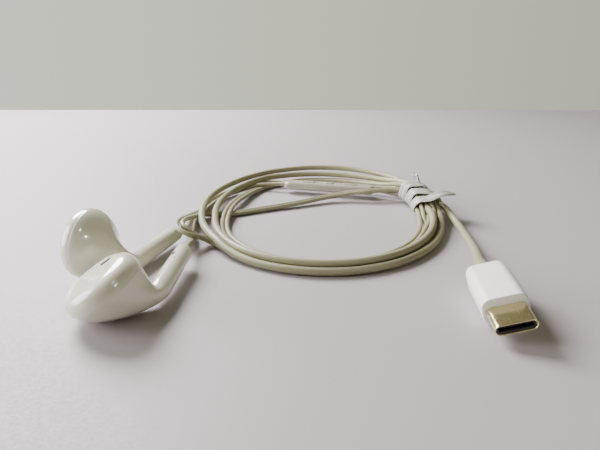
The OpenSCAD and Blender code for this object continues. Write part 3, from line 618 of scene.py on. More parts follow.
def push_off_rods(at, r, push):
    """Adds the way out of each rod."""
    for a, b, rod in RODS:
        t = np.clip((at - a) @ (b - a) / ((b - a) @ (b - a)), 0, 1)
        q = at - a - t[:, None] * (b - a)
        away = np.linalg.norm(q, axis=1) + TINY
        push += q / away[:, None] * np.maximum(rod + r - away, 0)[:, None] * ROD_PUSH


def push_off_remote(at, r, push):
    """Adds the shorter way out of the remote's box, sideways or up and down."""
    centre, along, across = REMOTE[:3, 3], REMOTE[:3, 0], REMOTE[:3, 1]
    w = np.stack([(at - centre) @ along, (at - centre) @ across, at[:, 2] - centre[2]], 1)
    q = np.abs(w) - REMOTE_HALF - r[:, None]
    sideways = q[:, 1] > q[:, 2]
    way = np.where(sideways[:, None], across * np.sign(w[:, 1:2]),
                   np.array([[0, 0, 1.0]]) * np.sign(w[:, 2:3]))
    depth = np.where((q < 0).all(1), -np.where(sideways, q[:, 1], q[:, 2]), 0)
    push += way * depth[:, None] * REMOTE_PUSH

# %% One round of nudging, and many
PUSH_SPREAD, MOVE_SPREAD = 6, 2              # how often a push and a whole move are blended


def spread(move, times):
    """Blends each row with its neighbours; the two ends stay."""
    for _ in range(times):
        move = np.r_[move[:1], .25 * move[:-2] + .5 * move[1:-1] + .25 * move[2:], move[-1:]]
    return move


def push_apart(at, r, i, j, gap):
    """Half of each overlap, away from the neighbour, and the worst overlap."""
    d = at[i] - at[j]
    gone = np.linalg.norm(d, axis=1) + TINY
    over = np.maximum(r[i] + r[j] + gap - gone, 0)
    total, most, push = np.zeros(len(at)), np.zeros(len(at)), np.zeros_like(at)
    np.add.at(total, i, over)
    np.maximum.at(most, i, over)
    np.add.at(push, i, d / gone[:, None] * over[:, None])
    return push * (most * 0.5 / np.maximum(total, TINY))[:, None], most.max()


def settle(lines, radii, free, rounds=160, search=20, near=1.5, gap=0.02, own=7.0):
    """Nudges the lines apart; points closer than own along one line never push."""
    size = [len(p) for p in lines]
    cuts = np.cumsum(size)[:-1]
    start = np.concatenate(lines)
    at = start.copy()
    r, f = np.repeat(radii, size), np.concatenate(free)
    strand = np.repeat(range(len(lines)), size)
    order = np.concatenate([np.arange(n) for n in size])
    for turn in range(rounds):
        if turn % search == 0:
            far = np.linalg.norm(at[:, None] - at[None], axis=2)
            same = (strand[:, None] == strand) & (abs(order[:, None] - order) < own / STEP)
            i, j = np.nonzero((far < r[:, None] + r + near) & ~same)
        push, worst = push_apart(at, r, i, j, gap)
        push_off_rods(at, r, push)
        push_off_remote(at, r, push)
        push *= f[:, None]
        push = np.concatenate([spread(p, PUSH_SPREAD) for p in np.split(push, cuts)])
        at = at + PUSH * push * f[:, None]
        at[:, 2] = np.maximum(at[:, 2], r)
        moves = [.5 * m + .5 * spread(m, MOVE_SPREAD) for m in np.split(at - start, cuts)]
        at = start + np.concatenate(moves) * f[:, None]
        at[:, 2] = np.maximum(at[:, 2], r)
    print("settled, worst overlap left", round(float(worst), 3), "mm")
    return np.split(at, cuts)

# %% Settle the strands
HOLD_EASE, TIP_POINTS = 3, 6                 # mm, and points, over which a hold fades
IN_REMOTE = (19, 1, 0.4)                     # mm from its middle where the lead stays put
LEAST_BEND = 2.2 * LEAD_D


def held(line, point, room):
    """0 near the point that must not move, 1 away from it."""
    return np.clip((np.linalg.norm(line - point, axis=1) - room) / HOLD_EASE, 0, 1)


def eased(line, least, times=60):
    """Smooths a line only where it bends tighter than the least radius."""
    for _ in range(times):
        d = np.gradient(line, axis=0)
        turn = np.linalg.norm(np.cross(d, np.gradient(d, axis=0)), axis=1)
        tight = (turn * least > np.linalg.norm(d, axis=1) ** 3).astype(float)
        tight[:4] = tight[-4:] = 0
        tight = np.minimum(spread(np.convolve(tight, np.ones(5), "same"), 3), 1)
        line = line + (spread(line, 1) - line) * tight[:, None]
    return line


# The cable is held in the plug, each lead in its stem, and the right one in the remote.
cable, right, left = strands.values()
tips = [np.clip(np.arange(len(p)) / TIP_POINTS, 0, 1) for p in (cable, right, left)]
free = [np.minimum(tips[0][::-1], held(cable, PLUG_LEAD[1], 5)),
        np.minimum(tips[1], held(right, RIGHT_END[-2], 3)),
        np.minimum(tips[2], held(left, LEFT_END[-2], 3))]
in_remote = (right - REMOTE[:3, 3]) @ REMOTE[:3, :3]
free[1][(abs(in_remote) < IN_REMOTE).all(1)] = 0
strands = dict(zip(strands, settle([cable, right, left], list(RADII.values()), free)))
for key in ("right_lead", "left_lead"):
    strands[key] = eased(strands[key], LEAST_BEND)

# %% [markdown]
# ## The strands as curves
# A cord is one open curve with a round bevel, so it keeps a true centreline and a round
# section. The points come from the settled lines, 2.4 millimetres apart.

# %% Curves for the cable and the two leads
CURVE_STEP, RING_SEGMENTS = 2.4, 7


def cord_curve(name, line, radius):
    """A cord along a line in mm, with a round section."""
    data = bpy.data.curves.new(name, "CURVE")
    data.dimensions = "3D"
    data.bevel_depth, data.bevel_resolution = radius * MM, RING_SEGMENTS
    data.use_fill_caps, data.resolution_u = True, 4
    points = even(line, CURVE_STEP) * MM
    spline = data.splines.new("BEZIER")
    spline.bezier_points.add(len(points) - 1)
    for knot, p in zip(spline.bezier_points, points):
        knot.co = p
        knot.handle_left_type = knot.handle_right_type = "AUTO"
    data.materials.append(FINISH["cable_skin"])
    return new_object(name, data)


for key in strands:
    line = strands[key][::-1]                # the cable starts at the splitter,
    made[key] = cord_curve(key, line, RADII[key])    # each lead in its stem
    run_of(line)[-1] * MM
    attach(made[key], "earphones")
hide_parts("cable_coil", "plug_lead")
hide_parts("right_ear_lead", "remote_leads")
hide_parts("left_ear_lead", "lead_pair")

# %% [markdown]
# ## The ear housing
# On the real thing this is one injection-moulded shell: a round rim that the cap is
# welded to, a teardrop body, and a stem in one sweep. It could be carved from a sphere
# and a cylinder, but the join at the neck never looks moulded. Here two guide curves,
# over the back and under the front, carry one closed section from the rim to the stem,
# and the inside is the same section drawn in by the wall.

# %% Sizes and guide curves of the housing
SIDES = 112
TURN = np.arange(SIDES) * 2 * math.pi / SIDES
RIM_R, FLAT_R, CAP_H, CAP_POWER, WALL = 8.6, 4.5, 3.7, 2.4, 0.9
STEM_R, STEM_L, STEM_TAPER, STEM_ROUND = 2.4, 19.5, 0.16, 0.9
STEM_BORE, LEAD_BORE = 1.49, 1.05            # radii inside the stem and at its end
STEM_BACK, STEM_OFFSET, STEM_DROP = 8.66, 5.24, 6.28
LEAN, SIDE_LEAN = math.radians(6.7), math.radians(9.2)
BELLY, SEAM = 1.46, 0.06
stem_dir = np.array([-math.sin(LEAN), -math.cos(LEAN)])
stem_side = np.array([math.cos(LEAN), -math.sin(LEAN)])
stem_top = np.array([-STEM_BACK, -STEM_DROP])
STEM_START = np.array([-STEM_BACK, -STEM_OFFSET, -STEM_DROP])
STEM_DOWN = np.array([stem_dir[0] * math.cos(SIDE_LEAN), math.sin(SIDE_LEAN),
                      stem_dir[1] * math.cos(SIDE_LEAN)])
STEM_IN = np.array([-stem_side[0], 0, -stem_side[1]])
STEM_ACROSS = np.cross(STEM_DOWN, STEM_IN)
# Each guide is a Bezier curve: rim, the rim's handle, the stem's handle, stem.
BACK_GUIDE = [np.array([0, RIM_R]), np.array([-5.1, RIM_R - 1.05]),
              stem_top - stem_side * STEM_R - stem_dir * 4.9, stem_top - stem_side * STEM_R]
FRONT_GUIDE = [np.array([0, -RIM_R]), np.array([-6.2, -RIM_R + 0.7]),
               stem_top + stem_side * STEM_R - stem_dir * 6.2,
               stem_top + stem_side * STEM_R]
print("the stem runs along", np.round(STEM_DOWN, 3))


def bezier(g, t):
    """The point of a Bezier curve at a share t of its way."""
    return ((1 - t) ** 3 * g[0] + 3 * t * (1 - t) ** 2 * g[1]
            + 3 * t * t * (1 - t) * g[2] + t ** 3 * g[3])


def head_ring(t, inset):
    """The head's section at t, 0 at the rim and 1 at the stem, drawn in by inset."""
    b, f = bezier(BACK_GUIDE, t), bezier(FRONT_GUIDE, t)
    middle, half = (b + f) / 2, (b - f) / 2 * (1 - 2 * inset / np.linalg.norm(b - f))
    w = STEM_R + (RIM_R - STEM_R) * max(1 - t ** 1.3, 0) ** BELLY - inset
    y, lean = -STEM_OFFSET * t * t * (3 - 2 * t), SIDE_LEAN * t
    s, c = np.sin(TURN), np.cos(TURN)
    return np.stack([middle[0] + half[0] * s, y + w * c * math.cos(lean),
                     middle[1] + half[1] * s + w * c * math.sin(lean)], 1)


def stem_ring(q, r):
    """A circle of radius r round the stem, q below its top."""
    out = np.outer(np.cos(TURN), STEM_ACROSS) + np.outer(np.sin(TURN), STEM_IN)
    return STEM_START + STEM_DOWN * q + r * out

# %% Slots, rounded edges and the openings of an ear
def slot_ring(length, width, z, count=48):
    """A round-ended slot outline; a circle when length equals width."""
    a = (np.arange(count) + 0.5) * 2 * math.pi / count
    shift = np.where(np.cos(a) > 0, 1, -1) * (length - width) / 2
    return np.stack([shift + width / 2 * np.cos(a), width / 2 * np.sin(a),
                     np.full(count, z)], 1)


def slot_tool(name, length, width, place, lip=0.06):
    """A cutter that flares where it leaves the wall, so the slot gets a soft lip."""
    rows = [(-1.2, 0), (0.36, 0), (0.42, 0.3 * lip), (0.48, lip), (0.9, 5 * lip)]
    rings = [slot_ring(length + 2 * o, width + 2 * o, z) for z, o in rows]
    return mesh_object(name, [placed_skin(place, skin(rings))])


def round_edge(radius, first, last, count):
    """How far short of the end, and how far in, a rounded edge is; angles in degrees."""
    return [(radius * (1 - math.sin(a)), radius * (1 - math.cos(a)))
            for a in np.radians(np.linspace(first, last, count))]


OUTLET = (turned_frame((0, 0, 0), (-45, 0, 0)) @ turned_frame((3.2, 5.7, 0), (0, 0, 12))
          @ turned_frame((0, 0, 0), (0, 90, 0)))
CAP_VENT = turned_frame((3.25, -1.45, -3.5), (30, 0, 0)) @ turned_frame((0, 0, 0), (90, 0, 90))
VENT_TURN, VENT_DOWN, VENT_SEAT = math.radians(264), 13.6, 1.79
vent_out = math.cos(VENT_TURN) * STEM_ACROSS + math.sin(VENT_TURN) * STEM_IN
STEM_VENT = placed(STEM_START + STEM_DOWN * VENT_DOWN + vent_out * VENT_SEAT, STEM_DOWN,
                   vent_out)
# opening: its place in the ear, length, width, pitch of its grille, grille in the CAD
OPENINGS = {"outlet": (OUTLET, 5.0, 1.7, 0.2, "_front_mesh"),
            "cap": (CAP_VENT, 2.6, 1.4, 0.16, "_cap_vent_mesh"),
            "stem": (STEM_VENT, 1.7, 0.8, 0.15, "_stem_vent_mesh")}
print("openings in an ear", list(OPENINGS))

# %% Make the two housings
stem_straight = STEM_L - STEM_ROUND
outer = [head_ring(0, SEAM), head_ring(0.006, SEAM * 0.35)]
outer += [head_ring(t, 0) for t in np.linspace(0.016, 1, 60)]
outer += [stem_ring(q * stem_straight, STEM_R - STEM_TAPER * q)
          for q in np.linspace(0.08, 1, 14)]
outer += [stem_ring(STEM_L - short, STEM_R - STEM_TAPER - o)
          for short, o in round_edge(STEM_ROUND, 9, 90, 10)]
inner = [head_ring(t, WALL - 0.15 * t) for t in np.linspace(0, 1, 22)]
inner += [stem_ring(q, STEM_BORE) for q in (0.5, 6, 12, 17.5)]
inner += [stem_ring(q, LEAD_BORE) for q in (17.9, STEM_L)]
for side, ear in EARS.items():
    piece = mesh_object(side + "_housing", [skin(outer + inner[::-1], looped=True)], 40)
    where, length, width, *_ = OPENINGS["stem"]
    cut(piece, [slot_tool("tool", length, width, where, 0.04)])
    finish_piece(piece, ear, "ear_gloss", side + "_rear_shell")

# %% [markdown]
# ## The cap
# The cap that goes into the ear is a lathe form: nearly flat in the middle, then a
# superellipse down to the rim. A lathe in the modelling program, a revolve, or a spun
# curve would all do. The rule is short, so a Geometry Nodes tree holds it: one grid,
# whose rows become the outside and the inside of the wall and whose columns go round.

# %% A tree that turns a cap from its sizes
CAP = {"Rim": RIM_R, "Flat": FLAT_R, "Height": CAP_H, "Power": CAP_POWER, "Wall": WALL,
       "Seam": SEAM, "Rings": 44, "Turns": 112, "Finish": FINISH["ear_gloss"]}


def cap_tree():
    """A grid whose rows run out over the outside and back under it."""
    tree, given, out = new_tree("turned_cap", CAP)
    rings2 = given("Rings") * 2
    grid = add(tree, "GeometryNodeMeshGrid", {
        "Size X": 1.0, "Size Y": 1.0, "Vertices X": rings2,
        "Vertices Y": given("Turns") + 1})[0]
    at = add(tree, "GeometryNodeInputPosition")[0]
    along, around, _ = add(tree, "ShaderNodeSeparateXYZ", {0: at})
    row = math_node("ROUND", (along + 0.5) * (rings2 - 1))
    inside = math_node("GREATER_THAN", row, given("Rings") - 0.5)
    outside = 1 - inside
    step = inside * (rings2 - 1 - row) + outside * row
    last = given("Rings") - 1
    thin = inside * given("Wall")
    edge = math_node("GREATER_THAN", step, last - 0.5)
    full = given("Rim") - thin
    r = full * math_node("SINE", step / last * (math.pi / 2))
    u = (r - given("Flat")) / (full - given("Flat"))
    u = math_node("MINIMUM", math_node("MAXIMUM", u, 0), 1)
    x = (given("Height") - thin) * (1 - u ** given("Power")) ** (1 / given("Power"))
    r = r - edge * given("Seam") * outside
    a = (around + 0.5) * (2 * math.pi)
    place = add(tree, "ShaderNodeCombineXYZ", {
        0: x, 1: r * math_node("COSINE", a), 2: r * math_node("SINE", a)})[0]
    bent = add(tree, "GeometryNodeSetPosition", {"Geometry": grid, "Position": place})[0]
    joined = add(tree, "GeometryNodeMergeByDistance", {0: bent, "Distance": 0.0005})[0]
    end_tree(tree, given, out, joined)
    return tree


def face_outwards(mesh):
    """Turns a mesh round where its signed volume is negative."""
    mesh.calc_loop_triangles()
    p, t = rows_of(mesh.vertices, "co"), rows_of(mesh.loop_triangles, "vertices", int)
    if np.einsum("ij,ij->", p[t[:, 0]], np.cross(p[t[:, 1]], p[t[:, 2]])) < 0:
        mesh.flip_normals()

# %% Make the two caps
cap_rule = cap_tree()
for side, ear in EARS.items():
    piece = run_tree(side + "_cap", cap_rule, CAP)
    face_outwards(piece.data)
    tools = []
    for key in ("outlet", "cap"):
        where, length, width, *_ = OPENINGS[key]
        tools.append(slot_tool("tool_" + key, length, width, where))
    cut(piece, tools)
    finish_piece(piece, ear, "ear_gloss", side + "_front_shell")

# %% [markdown]
# ## Woven grilles
# Behind each opening sits a scrap of woven black cloth that keeps earwax out. A printed
# texture would be flat in a close view, and modelling each wire by hand is hopeless. A
# tree lays wires of the right length side by side in both directions, one layer over
# the other, and the round ends follow from the width.

# %% A tree that weaves a round-ended grille
# The sizes are the outlet's; each opening gets its own below.
GRILLE = {"Length": 5.0, "Width": 1.7, "Pitch": 0.2, "Wire": 0.085,
          "Finish": FINISH["grille_black"]}
LAYER = 0.42                                 # a layer's height, as a share of a wire


def grille_tree():
    """Wires side by side, in one layer along the slot and one across it."""
    tree, given, out = new_tree("woven_grille", GRILLE)
    half = given("Width") / 2
    straight = given("Length") - given("Width")
    wire = add(tree, "GeometryNodeMeshCylinder", {
        "Vertices": 8, "Depth": 1.0, "Radius": given("Wire") / 2})[0]

    def layer(span, along_x, height):
        """Wires along X or along Y, at equal steps over the span."""
        count = math_node("FLOOR", span / given("Pitch"))
        line = add(tree, "GeometryNodeMeshLine", {"Count": count + 1})[0]
        order = add(tree, "GeometryNodeInputIndex")[0]
        place = given("Pitch") * (order - count / 2)
        reach = place
        if not along_x:
            reach = math_node("MAXIMUM", math_node("ABSOLUTE", place) - straight / 2, 0)
        squared = math_node("MAXIMUM", half * half - reach * reach, 0.0004)
        long = math_node("SQRT", squared) * 2
        if along_x:
            long = long + straight
        spot = add(tree, "ShaderNodeCombineXYZ", {
            1 if along_x else 0: place, 2: given("Wire") * height})[0]
        line = add(tree, "GeometryNodeSetPosition", {"Geometry": line, "Position": spot})[0]
        size = add(tree, "ShaderNodeCombineXYZ", {0: 1.0, 1: 1.0, 2: long})[0]
        return add(tree, "GeometryNodeInstanceOnPoints", {
            "Points": line, "Instance": wire, "Scale": size,
            "Rotation": (0, math.pi / 2, 0) if along_x else (math.pi / 2, 0, 0)})[0]

    layers = [layer(given("Width"), True, LAYER), layer(given("Length"), False, -LAYER)]
    end_tree(tree, given, out, add(tree, "GeometryNodeJoinGeometry", {0: layers})[0])
    return tree

# %% Put a grille in each opening
weave = grille_tree()
GRILLE_DEPTH = 0.26                          # just under the lip of the opening
GRILLE_ROOM = 0.04                           # so much smaller than the opening
for side, ear in EARS.items():
    for key, (where, length, width, pitch, part) in OPENINGS.items():
        place = ear @ where
        corners = rows_of(frame["nodes"][side + part].data.vertices, "co") / MM
        seat = np.eye(4)
        seat[2, 3] = max(moved(corners, np.linalg.inv(place))[:, 2].mean(), GRILLE_DEPTH)
        piece = run_tree(side + "_" + key + "_grille", weave, {
            **GRILLE, "Length": length - GRILLE_ROOM, "Width": width - GRILLE_ROOM,
            "Pitch": pitch})
        finish_piece(piece, place @ seat, "grille_black", side + part)

# %% Collars where the leads leave the stems
STEM_END = placed(STEM_START + STEM_DOWN * STEM_L, STEM_IN, STEM_DOWN)
# each row is a radius and a height, as in the remote's cones and the plug's collar
COLLAR = [(.73, -1.4), (1.02, -1.4), (1.02, .03), (1.13, .04), (1.15, .12), (1.12, .22),
          (1.09, .45), (1.03, .75), (.97, 1.0), (.93, 1.14), (.87, 1.26), (.80, 1.3),
          (.74, 1.28), (.73, 1.2)]
for side, ear in EARS.items():
    piece = mesh_object(side + "_stem_collar", [turned(COLLAR)], 50)
    finish_piece(piece, ear @ STEM_END, "cable_skin", side + "_strain_relief")

# %% [markdown]
# ## The remote
# Two moulded halves with a hairline seam, three keys in their own openings, and a soft
# cone at each end. The halves are skins with rounded edges; the openings are cut, as
# the mould would, and the keys are whole pieces with a flange that keeps them in and a
# foot over the switch, because they move.

# %% Shell halves
REMOTE_L, REMOTE_W, REMOTE_H, REMOTE_ROUND, REMOTE_WALL = 34.5, 5.0, 3.0, 1.1, 0.5
KEYS = {"volume_up": (-8.0, 5.4), "centre": (0.0, 4.0), "volume_down": (8.0, 5.4)}
KEY_W, KEY_GAP, KEY_TOP, KEY_ROUND = 1.9, 0.12, 1.8, 0.3
FLANGE_TOP, FLANGE_T, FLANGE_LAP = 0.95, 0.34, 0.3
HOLLOW_L, HOLLOW_W = REMOTE_L - 2.6, REMOTE_W - 1.4
CONE_BORE = 1.96                             # holes in the remote's ends for its cones


def remote_half(name, up):
    """One half with its hollow, its end bores and, on top, the holes for the keys."""
    sign = 1 if up else -1
    rows = [(0, 0.09), (0.04, 0.03), (0.1, 0)]
    rows += [(REMOTE_H / 2 - short, o) for short, o in round_edge(REMOTE_ROUND, 0, 90, 12)]
    rings = [slot_ring(REMOTE_L - 2 * o, REMOTE_W - 2 * o, sign * z, 96) for z, o in rows]
    piece = mesh_object(name, [skin(rings)], 40)
    inside = REMOTE_H / 2 - REMOTE_WALL
    hollow = [slot_ring(HOLLOW_L, HOLLOW_W, z, 64) for z in (-inside, inside)]
    tools = [mesh_object("hollow", [skin(hollow)])]
    bore = skin([slot_ring(CONE_BORE, CONE_BORE, z, 32) for z in (-2.5, 2.5)])
    for x in (-REMOTE_L / 2, REMOTE_L / 2):
        way = placed((x, 0, 0), (0, 0, 1), (1, 0, 0))
        tools.append(mesh_object("bore", [placed_skin(way, bore)]))
    for x, length in KEYS.values() if up else ():
        lip = [(0.5, 0), (1.42, 0), (1.5, 0.06), (1.7, 0.25)]
        hole = [slot_ring(length + 2 * (KEY_GAP + o), KEY_W + 2 * (KEY_GAP + o), z)
                + (x, 0, 0) for z, o in lip]
        tools.append(mesh_object("hole", [skin(hole)]))
    cut(piece, tools)
    finish_piece(piece, REMOTE, "remote_satin_painted_shade", name + "_shell")


remote_half("remote_top", True)
remote_half("remote_bottom", False)

# %% Keys, each riding on its own body
for key, (x, length) in KEYS.items():
    foot = [(0.05, 1.0, 1.0), (0.1, 1.2, 1.2), (FLANGE_TOP - FLANGE_T, 1.2, 1.2)]
    lap = 2 * FLANGE_LAP
    flange = [(z, length + lap, KEY_W + lap) for z in (FLANGE_TOP - FLANGE_T, FLANGE_TOP)]
    crown = [(FLANGE_TOP, length, KEY_W), (KEY_TOP - KEY_ROUND, length, KEY_W)]
    crown += [(KEY_TOP - short, length - 2 * o, KEY_W - 2 * o)
              for short, o in round_edge(KEY_ROUND, 12, 90, 7)]
    rings = [slot_ring(l, w, z, 64) + (x, 0, 0) for z, l, w in foot + flange + crown]
    piece = mesh_object(key + "_key", [skin(rings)], 40)
    finish_piece(piece, REMOTE, "remote_satin_painted_shade", key + "_button", body=key)

# %% A soft cone at each end
CONE_IN = 1.2                                # how far a cone starts inside the remote
CONE = [(.73, 0), (.95, 0), (.95, 1.2), (.94, 1.6), (.91, 2.0), (.89, 2.3), (.86, 2.5),
        (.81, 2.59), (.76, 2.6), (.73, 2.52)]
cones = [placed_skin(placed((x * (REMOTE_L / 2 - CONE_IN), 0, 0), (0, 0, 1), (x, 0, 0)),
                     turned(CONE, 40)) for x in (-1, 1)]
finish_piece(mesh_object("remote_cones", cones, 50), REMOTE, "cable_skin",
             "remote_strain_reliefs")

# %% [markdown]
# ## The plug
# The boot is one soft-edged block that narrows at the back, moulded over the circuit;
# the metal tube is drawn and gold-tinted; a small collar takes the bend of the cable.
# All three are skins looped through their own openings, so each has a real wall. The
# tube's lip is rolled, which is what catches the light in the photograph.

# %% The boot
def block_ring(width, height, radius, y, corner=14):
    """A rounded rectangle that stands across Y."""
    rows = []
    for k, (sx, sz) in enumerate(((1, 1), (-1, 1), (-1, -1), (1, -1))):
        a = np.radians(90 * k + np.linspace(0, 90, corner))
        rows.append(np.stack([sx * (width / 2 - radius) + radius * np.cos(a),
                              np.full(corner, y),
                              sz * (height / 2 - radius) + radius * np.sin(a)], 1))
    return np.concatenate(rows)


def block_object(name, rows, looped=True):
    """A skin through rounded rectangles, each a width, a height, a radius and a y."""
    return mesh_object(name, [skin([block_ring(*row) for row in rows], looped)], 38)


BOOT_W, BOOT_H, BOOT_L, BOOT_ROUND = 9.5, 6.3, 16.6, 2.2
front_off = ((0, 0.3), (0.03, 0.14), (0.1, 0.04), (0.2, 0), (4, 0), (8, 0))
back_y = [0.7 * BOOT_L, 13.6, 15.4, 15.95, 16.25, 16.45, 16.56, BOOT_L]
back_off = [0, 0.16, 0.5, 0.86, 1.3, 1.8, 2.2, 2.6]
rows = [(BOOT_W - o, BOOT_H - o, BOOT_ROUND - o / 2, y) for y, o in front_off]
for y in [*np.linspace(back_y[0], back_y[2], 10), *back_y[3:]]:
    o = float(np.interp(y, back_y, back_off))
    rows.append((BOOT_W - o, BOOT_H - o, BOOT_ROUND - 0.35 * o, y))
# Back through the inside: the cable's hole, the circuit's room, the tube's seat.
for *section, back, front in ((2.6, 2.6, 1.299, BOOT_L, 12.5), (7.6, 3.2, 0.3, 12.5, 3.0),
                              (8.31, 2.46, 1.229, 3.0, 0.0)):
    rows += [(*section, back), (*section, front)]
finish_piece(block_object("plug_housing", rows), PLUG, "boot_satin", "plug_boot")

# %% The metal tube
TUBE_W, TUBE_H, TUBE_WALL, TUBE_FRONT, TUBE_BACK = 8.25, 2.4, 0.3, -6.65, 3.0
TUBE_FLAT = 0.001                            # half of what stays flat on the short sides
lip = TUBE_WALL / 2


def tube_row(o, y):
    """The tube's section drawn in by o."""
    return TUBE_W - 2 * o, TUBE_H - 2 * o, TUBE_H / 2 - o - TUBE_FLAT, y


rows = [tube_row(0, y) for y in np.linspace(TUBE_BACK, TUBE_FRONT + lip, 9)]
rows += [tube_row(o, TUBE_FRONT + short) for short, o in round_edge(lip, 15, 165, 9)]
rows += [tube_row(TUBE_WALL, y) for y in (TUBE_FRONT + lip, TUBE_BACK)]
finish_piece(block_object("plug_tube", rows), PLUG, "plug_gold", "plug_shell")

# %% The collar behind the boot
PLUG_COLLAR = [(1.06, 0), (1.95, 0), (1.9, .9), (1.8, 1.8), (1.68, 2.7), (1.57, 3.6),
               (1.47, 4.5), (1.38, 5.2), (1.3, 5.7), (1.2, 5.95), (1.1, 6.0), (1.06, 5.9)]
boot_end = placed((0, BOOT_L, 0), (1, 0, 0), (0, 1, 0))
finish_piece(mesh_object("plug_bend_collar", [turned(PLUG_COLLAR)], 50), PLUG @ boot_end,
             "cable_skin", "plug_collar")

# %% [markdown]
# ## The contacts
# Twelve contacts stand in a row on each side of the mouth, half a millimetre apart. An
# array modifier would do as well; the tree keeps count, pitch and size as inputs.

# %% A tree that lays out the contact rows
CONTACTS = {"Count": 12, "Pitch": 0.5, "Gap": 0.83, "Size": (0.22, 4.0, 0.12),
            "Finish": FINISH["contact_gold"]}
CONTACT_BOW, CONTACT_MIDDLE = 0.02, (0, -2.9, 0)


def contact_tree():
    """One bowed contact, set out along two facing rows."""
    tree, given, out = new_tree("contact_rows", CONTACTS)
    spring = add(tree, "GeometryNodeMeshCube", {"Vertices Y": 9, "Size": given("Size")})[0]
    at = add(tree, "GeometryNodeInputPosition")[0]
    along = add(tree, "ShaderNodeSeparateXYZ", {0: at})[1]
    long = add(tree, "ShaderNodeSeparateXYZ", {0: given("Size")})[1]
    hump = math_node("COSINE", along / long * (2 * math.pi)) * -CONTACT_BOW
    bow = add(tree, "ShaderNodeCombineXYZ", {2: hump})[0]
    bent = add(tree, "GeometryNodeSetPosition", {"Geometry": spring, "Offset": bow})[0]
    start = (given("Count") - 1) / -2 * given("Pitch")
    apart = add(tree, "ShaderNodeCombineXYZ", {0: given("Pitch")})[0]
    rows = []
    for side in (-0.5, 0.5):
        first = add(tree, "ShaderNodeCombineXYZ", {0: start, 2: given("Gap") * side})[0]
        line = add(tree, "GeometryNodeMeshLine", {
            "Count": given("Count"), "Start Location": first, "Offset": apart})[0]
        rows += add(tree, "GeometryNodeInstanceOnPoints", {
            "Points": line, "Instance": bent,
            "Rotation": (0, 0 if side > 0 else math.pi, 0)})
    end_tree(tree, given, out, add(tree, "GeometryNodeJoinGeometry", {0: rows})[0])
    return tree

# %% Make the contacts
piece = run_tree("contact_rows", contact_tree(), CONTACTS)
finish_piece(piece, PLUG @ turned_frame(CONTACT_MIDDLE, (0, 0, 0)), "contact_gold",
             "plug_contacts")

# %% [markdown]
# ## The splitter
# A small moulded block joins the cable and the two leads. It hides in the tie.

# %% Make the splitter
across = np.cross(SPLITTER_ALONG, (0, 0, 1))
half_rows = [(4.5, 0.8), (4.36, 0.3), (4.1, 0.06), (3.8, 0)]
rows = [(-y, o) for y, o in half_rows] + [(0, 0)] + half_rows[::-1]
rows = [(SPLITTER_W - o, SPLITTER_H - o, 0.9 - 0.3 * o, y) for y, o in rows]
finish_piece(block_object("splitter_block", rows, looped=False),
             placed(SPLITTER_AT, across, (0, 0, 1)), "cable_skin", "splitter_body")

# %% [markdown]
# ## The twist tie
# A flat plastic strip with a thin wire inside, wound three times round the bundle by
# hand, with both ends left standing. It touches the strands wherever they bulge, so its
# path is worked out from the strands themselves: at each angle round the bundle, the
# strip lies on the tightest belt that goes round every strand there. A tree then sweeps
# the strip's section, a thin web with two rounded ridges, along that path.

# %% The belt round the strands
TIE_W, TIE_T, TIE_STEPS = 5.2, 1.1, 140
TIE_FROM, TIE_SPAN = 21.5, -24.4             # along the ring, degrees
TIE_START, TIE_END = 30.0, -1005.0           # round the bundle, degrees
TIE_CLEAR = 0.05                             # mm between the strands and the strip
BUNDLE_Z, BUNDLE_IN = 4.6, 2.9               # the bundle's middle, up and in from the ring
BUNDLE_REACH = 8                             # mm from there in which its strands lie
UP = np.array([0, 0, 1.0])


def ring_place(angle):
    """Middle of the bundle, along it, and sideways, at an angle on the ring."""
    c, s = math.cos(math.radians(angle)), math.sin(math.radians(angle))
    out = unit(np.array([RING_HALF[1] * c, RING_HALF[0] * s, 0]))
    middle = np.array([*(RING_AT + RING_HALF * (c, s)), BUNDLE_Z]) - BUNDLE_IN * out
    return middle, np.array([-out[1], out[0], 0]), out


def strands_at(middle, along, out):
    """Where each pass of each strand crosses the plane, with its radius."""
    rows = []
    for key, line in strands.items():
        d = (line - middle) @ along
        near = np.linalg.norm(line - middle, axis=1) < BUNDLE_REACH
        for k in np.nonzero((d[:-1] * d[1:] <= 0) & near[:-1])[0]:
            f = d[k] / (d[k] - d[k + 1] + 1e-12)
            q = line[k] + f * (line[k + 1] - line[k]) - middle
            rows.append((q @ out, q[2], RADII[key]))
    return np.array(rows)


def belt(rows, angle, extra):
    """Distance from the middle to the belt at an angle, and the belt's facing there."""
    b = np.radians(np.arange(0, 360, 3))
    reach = (np.outer(np.cos(b), rows[:, 0]) + np.outer(np.sin(b), rows[:, 1])
             + rows[:, 2]).max(1) + extra
    turn = np.cos(b - angle)
    span = np.where(turn > 0.05, reach / np.maximum(turn, 0.05), 1e9)
    k = int(np.argmin(span))
    return span[k], b[k]


path, facing = [], []
for f in np.linspace(0, 1, TIE_STEPS + 1):
    middle, along, out = ring_place(TIE_FROM + TIE_SPAN * f)
    rows = strands_at(middle, along, out)
    inner = rows[:, :2].mean(0)
    rows[:, :2] -= inner
    a = math.radians(TIE_START + (TIE_END - TIE_START) * f)
    reach, b = belt(rows, a, TIE_T / 2 + TIE_CLEAR)
    path.append(middle + out * (inner[0] + reach * math.cos(a))
                + UP * (inner[1] + reach * math.sin(a)))
    facing.append(out * math.cos(b) + UP * math.sin(b))
path, facing = np.array(path), np.array(facing)
print("belt from z", round(path[:, 2].min(), 2), "to", round(path[:, 2].max(), 2))

# %% Ends that stand free, joined on smoothly
TIP = [(83.1, 65.5, 9.4), (84.2, 65.6, 8.3)]
TAIL = [(87.4, 46.2, 8.15), (91.3, 48.1, 7.6)]


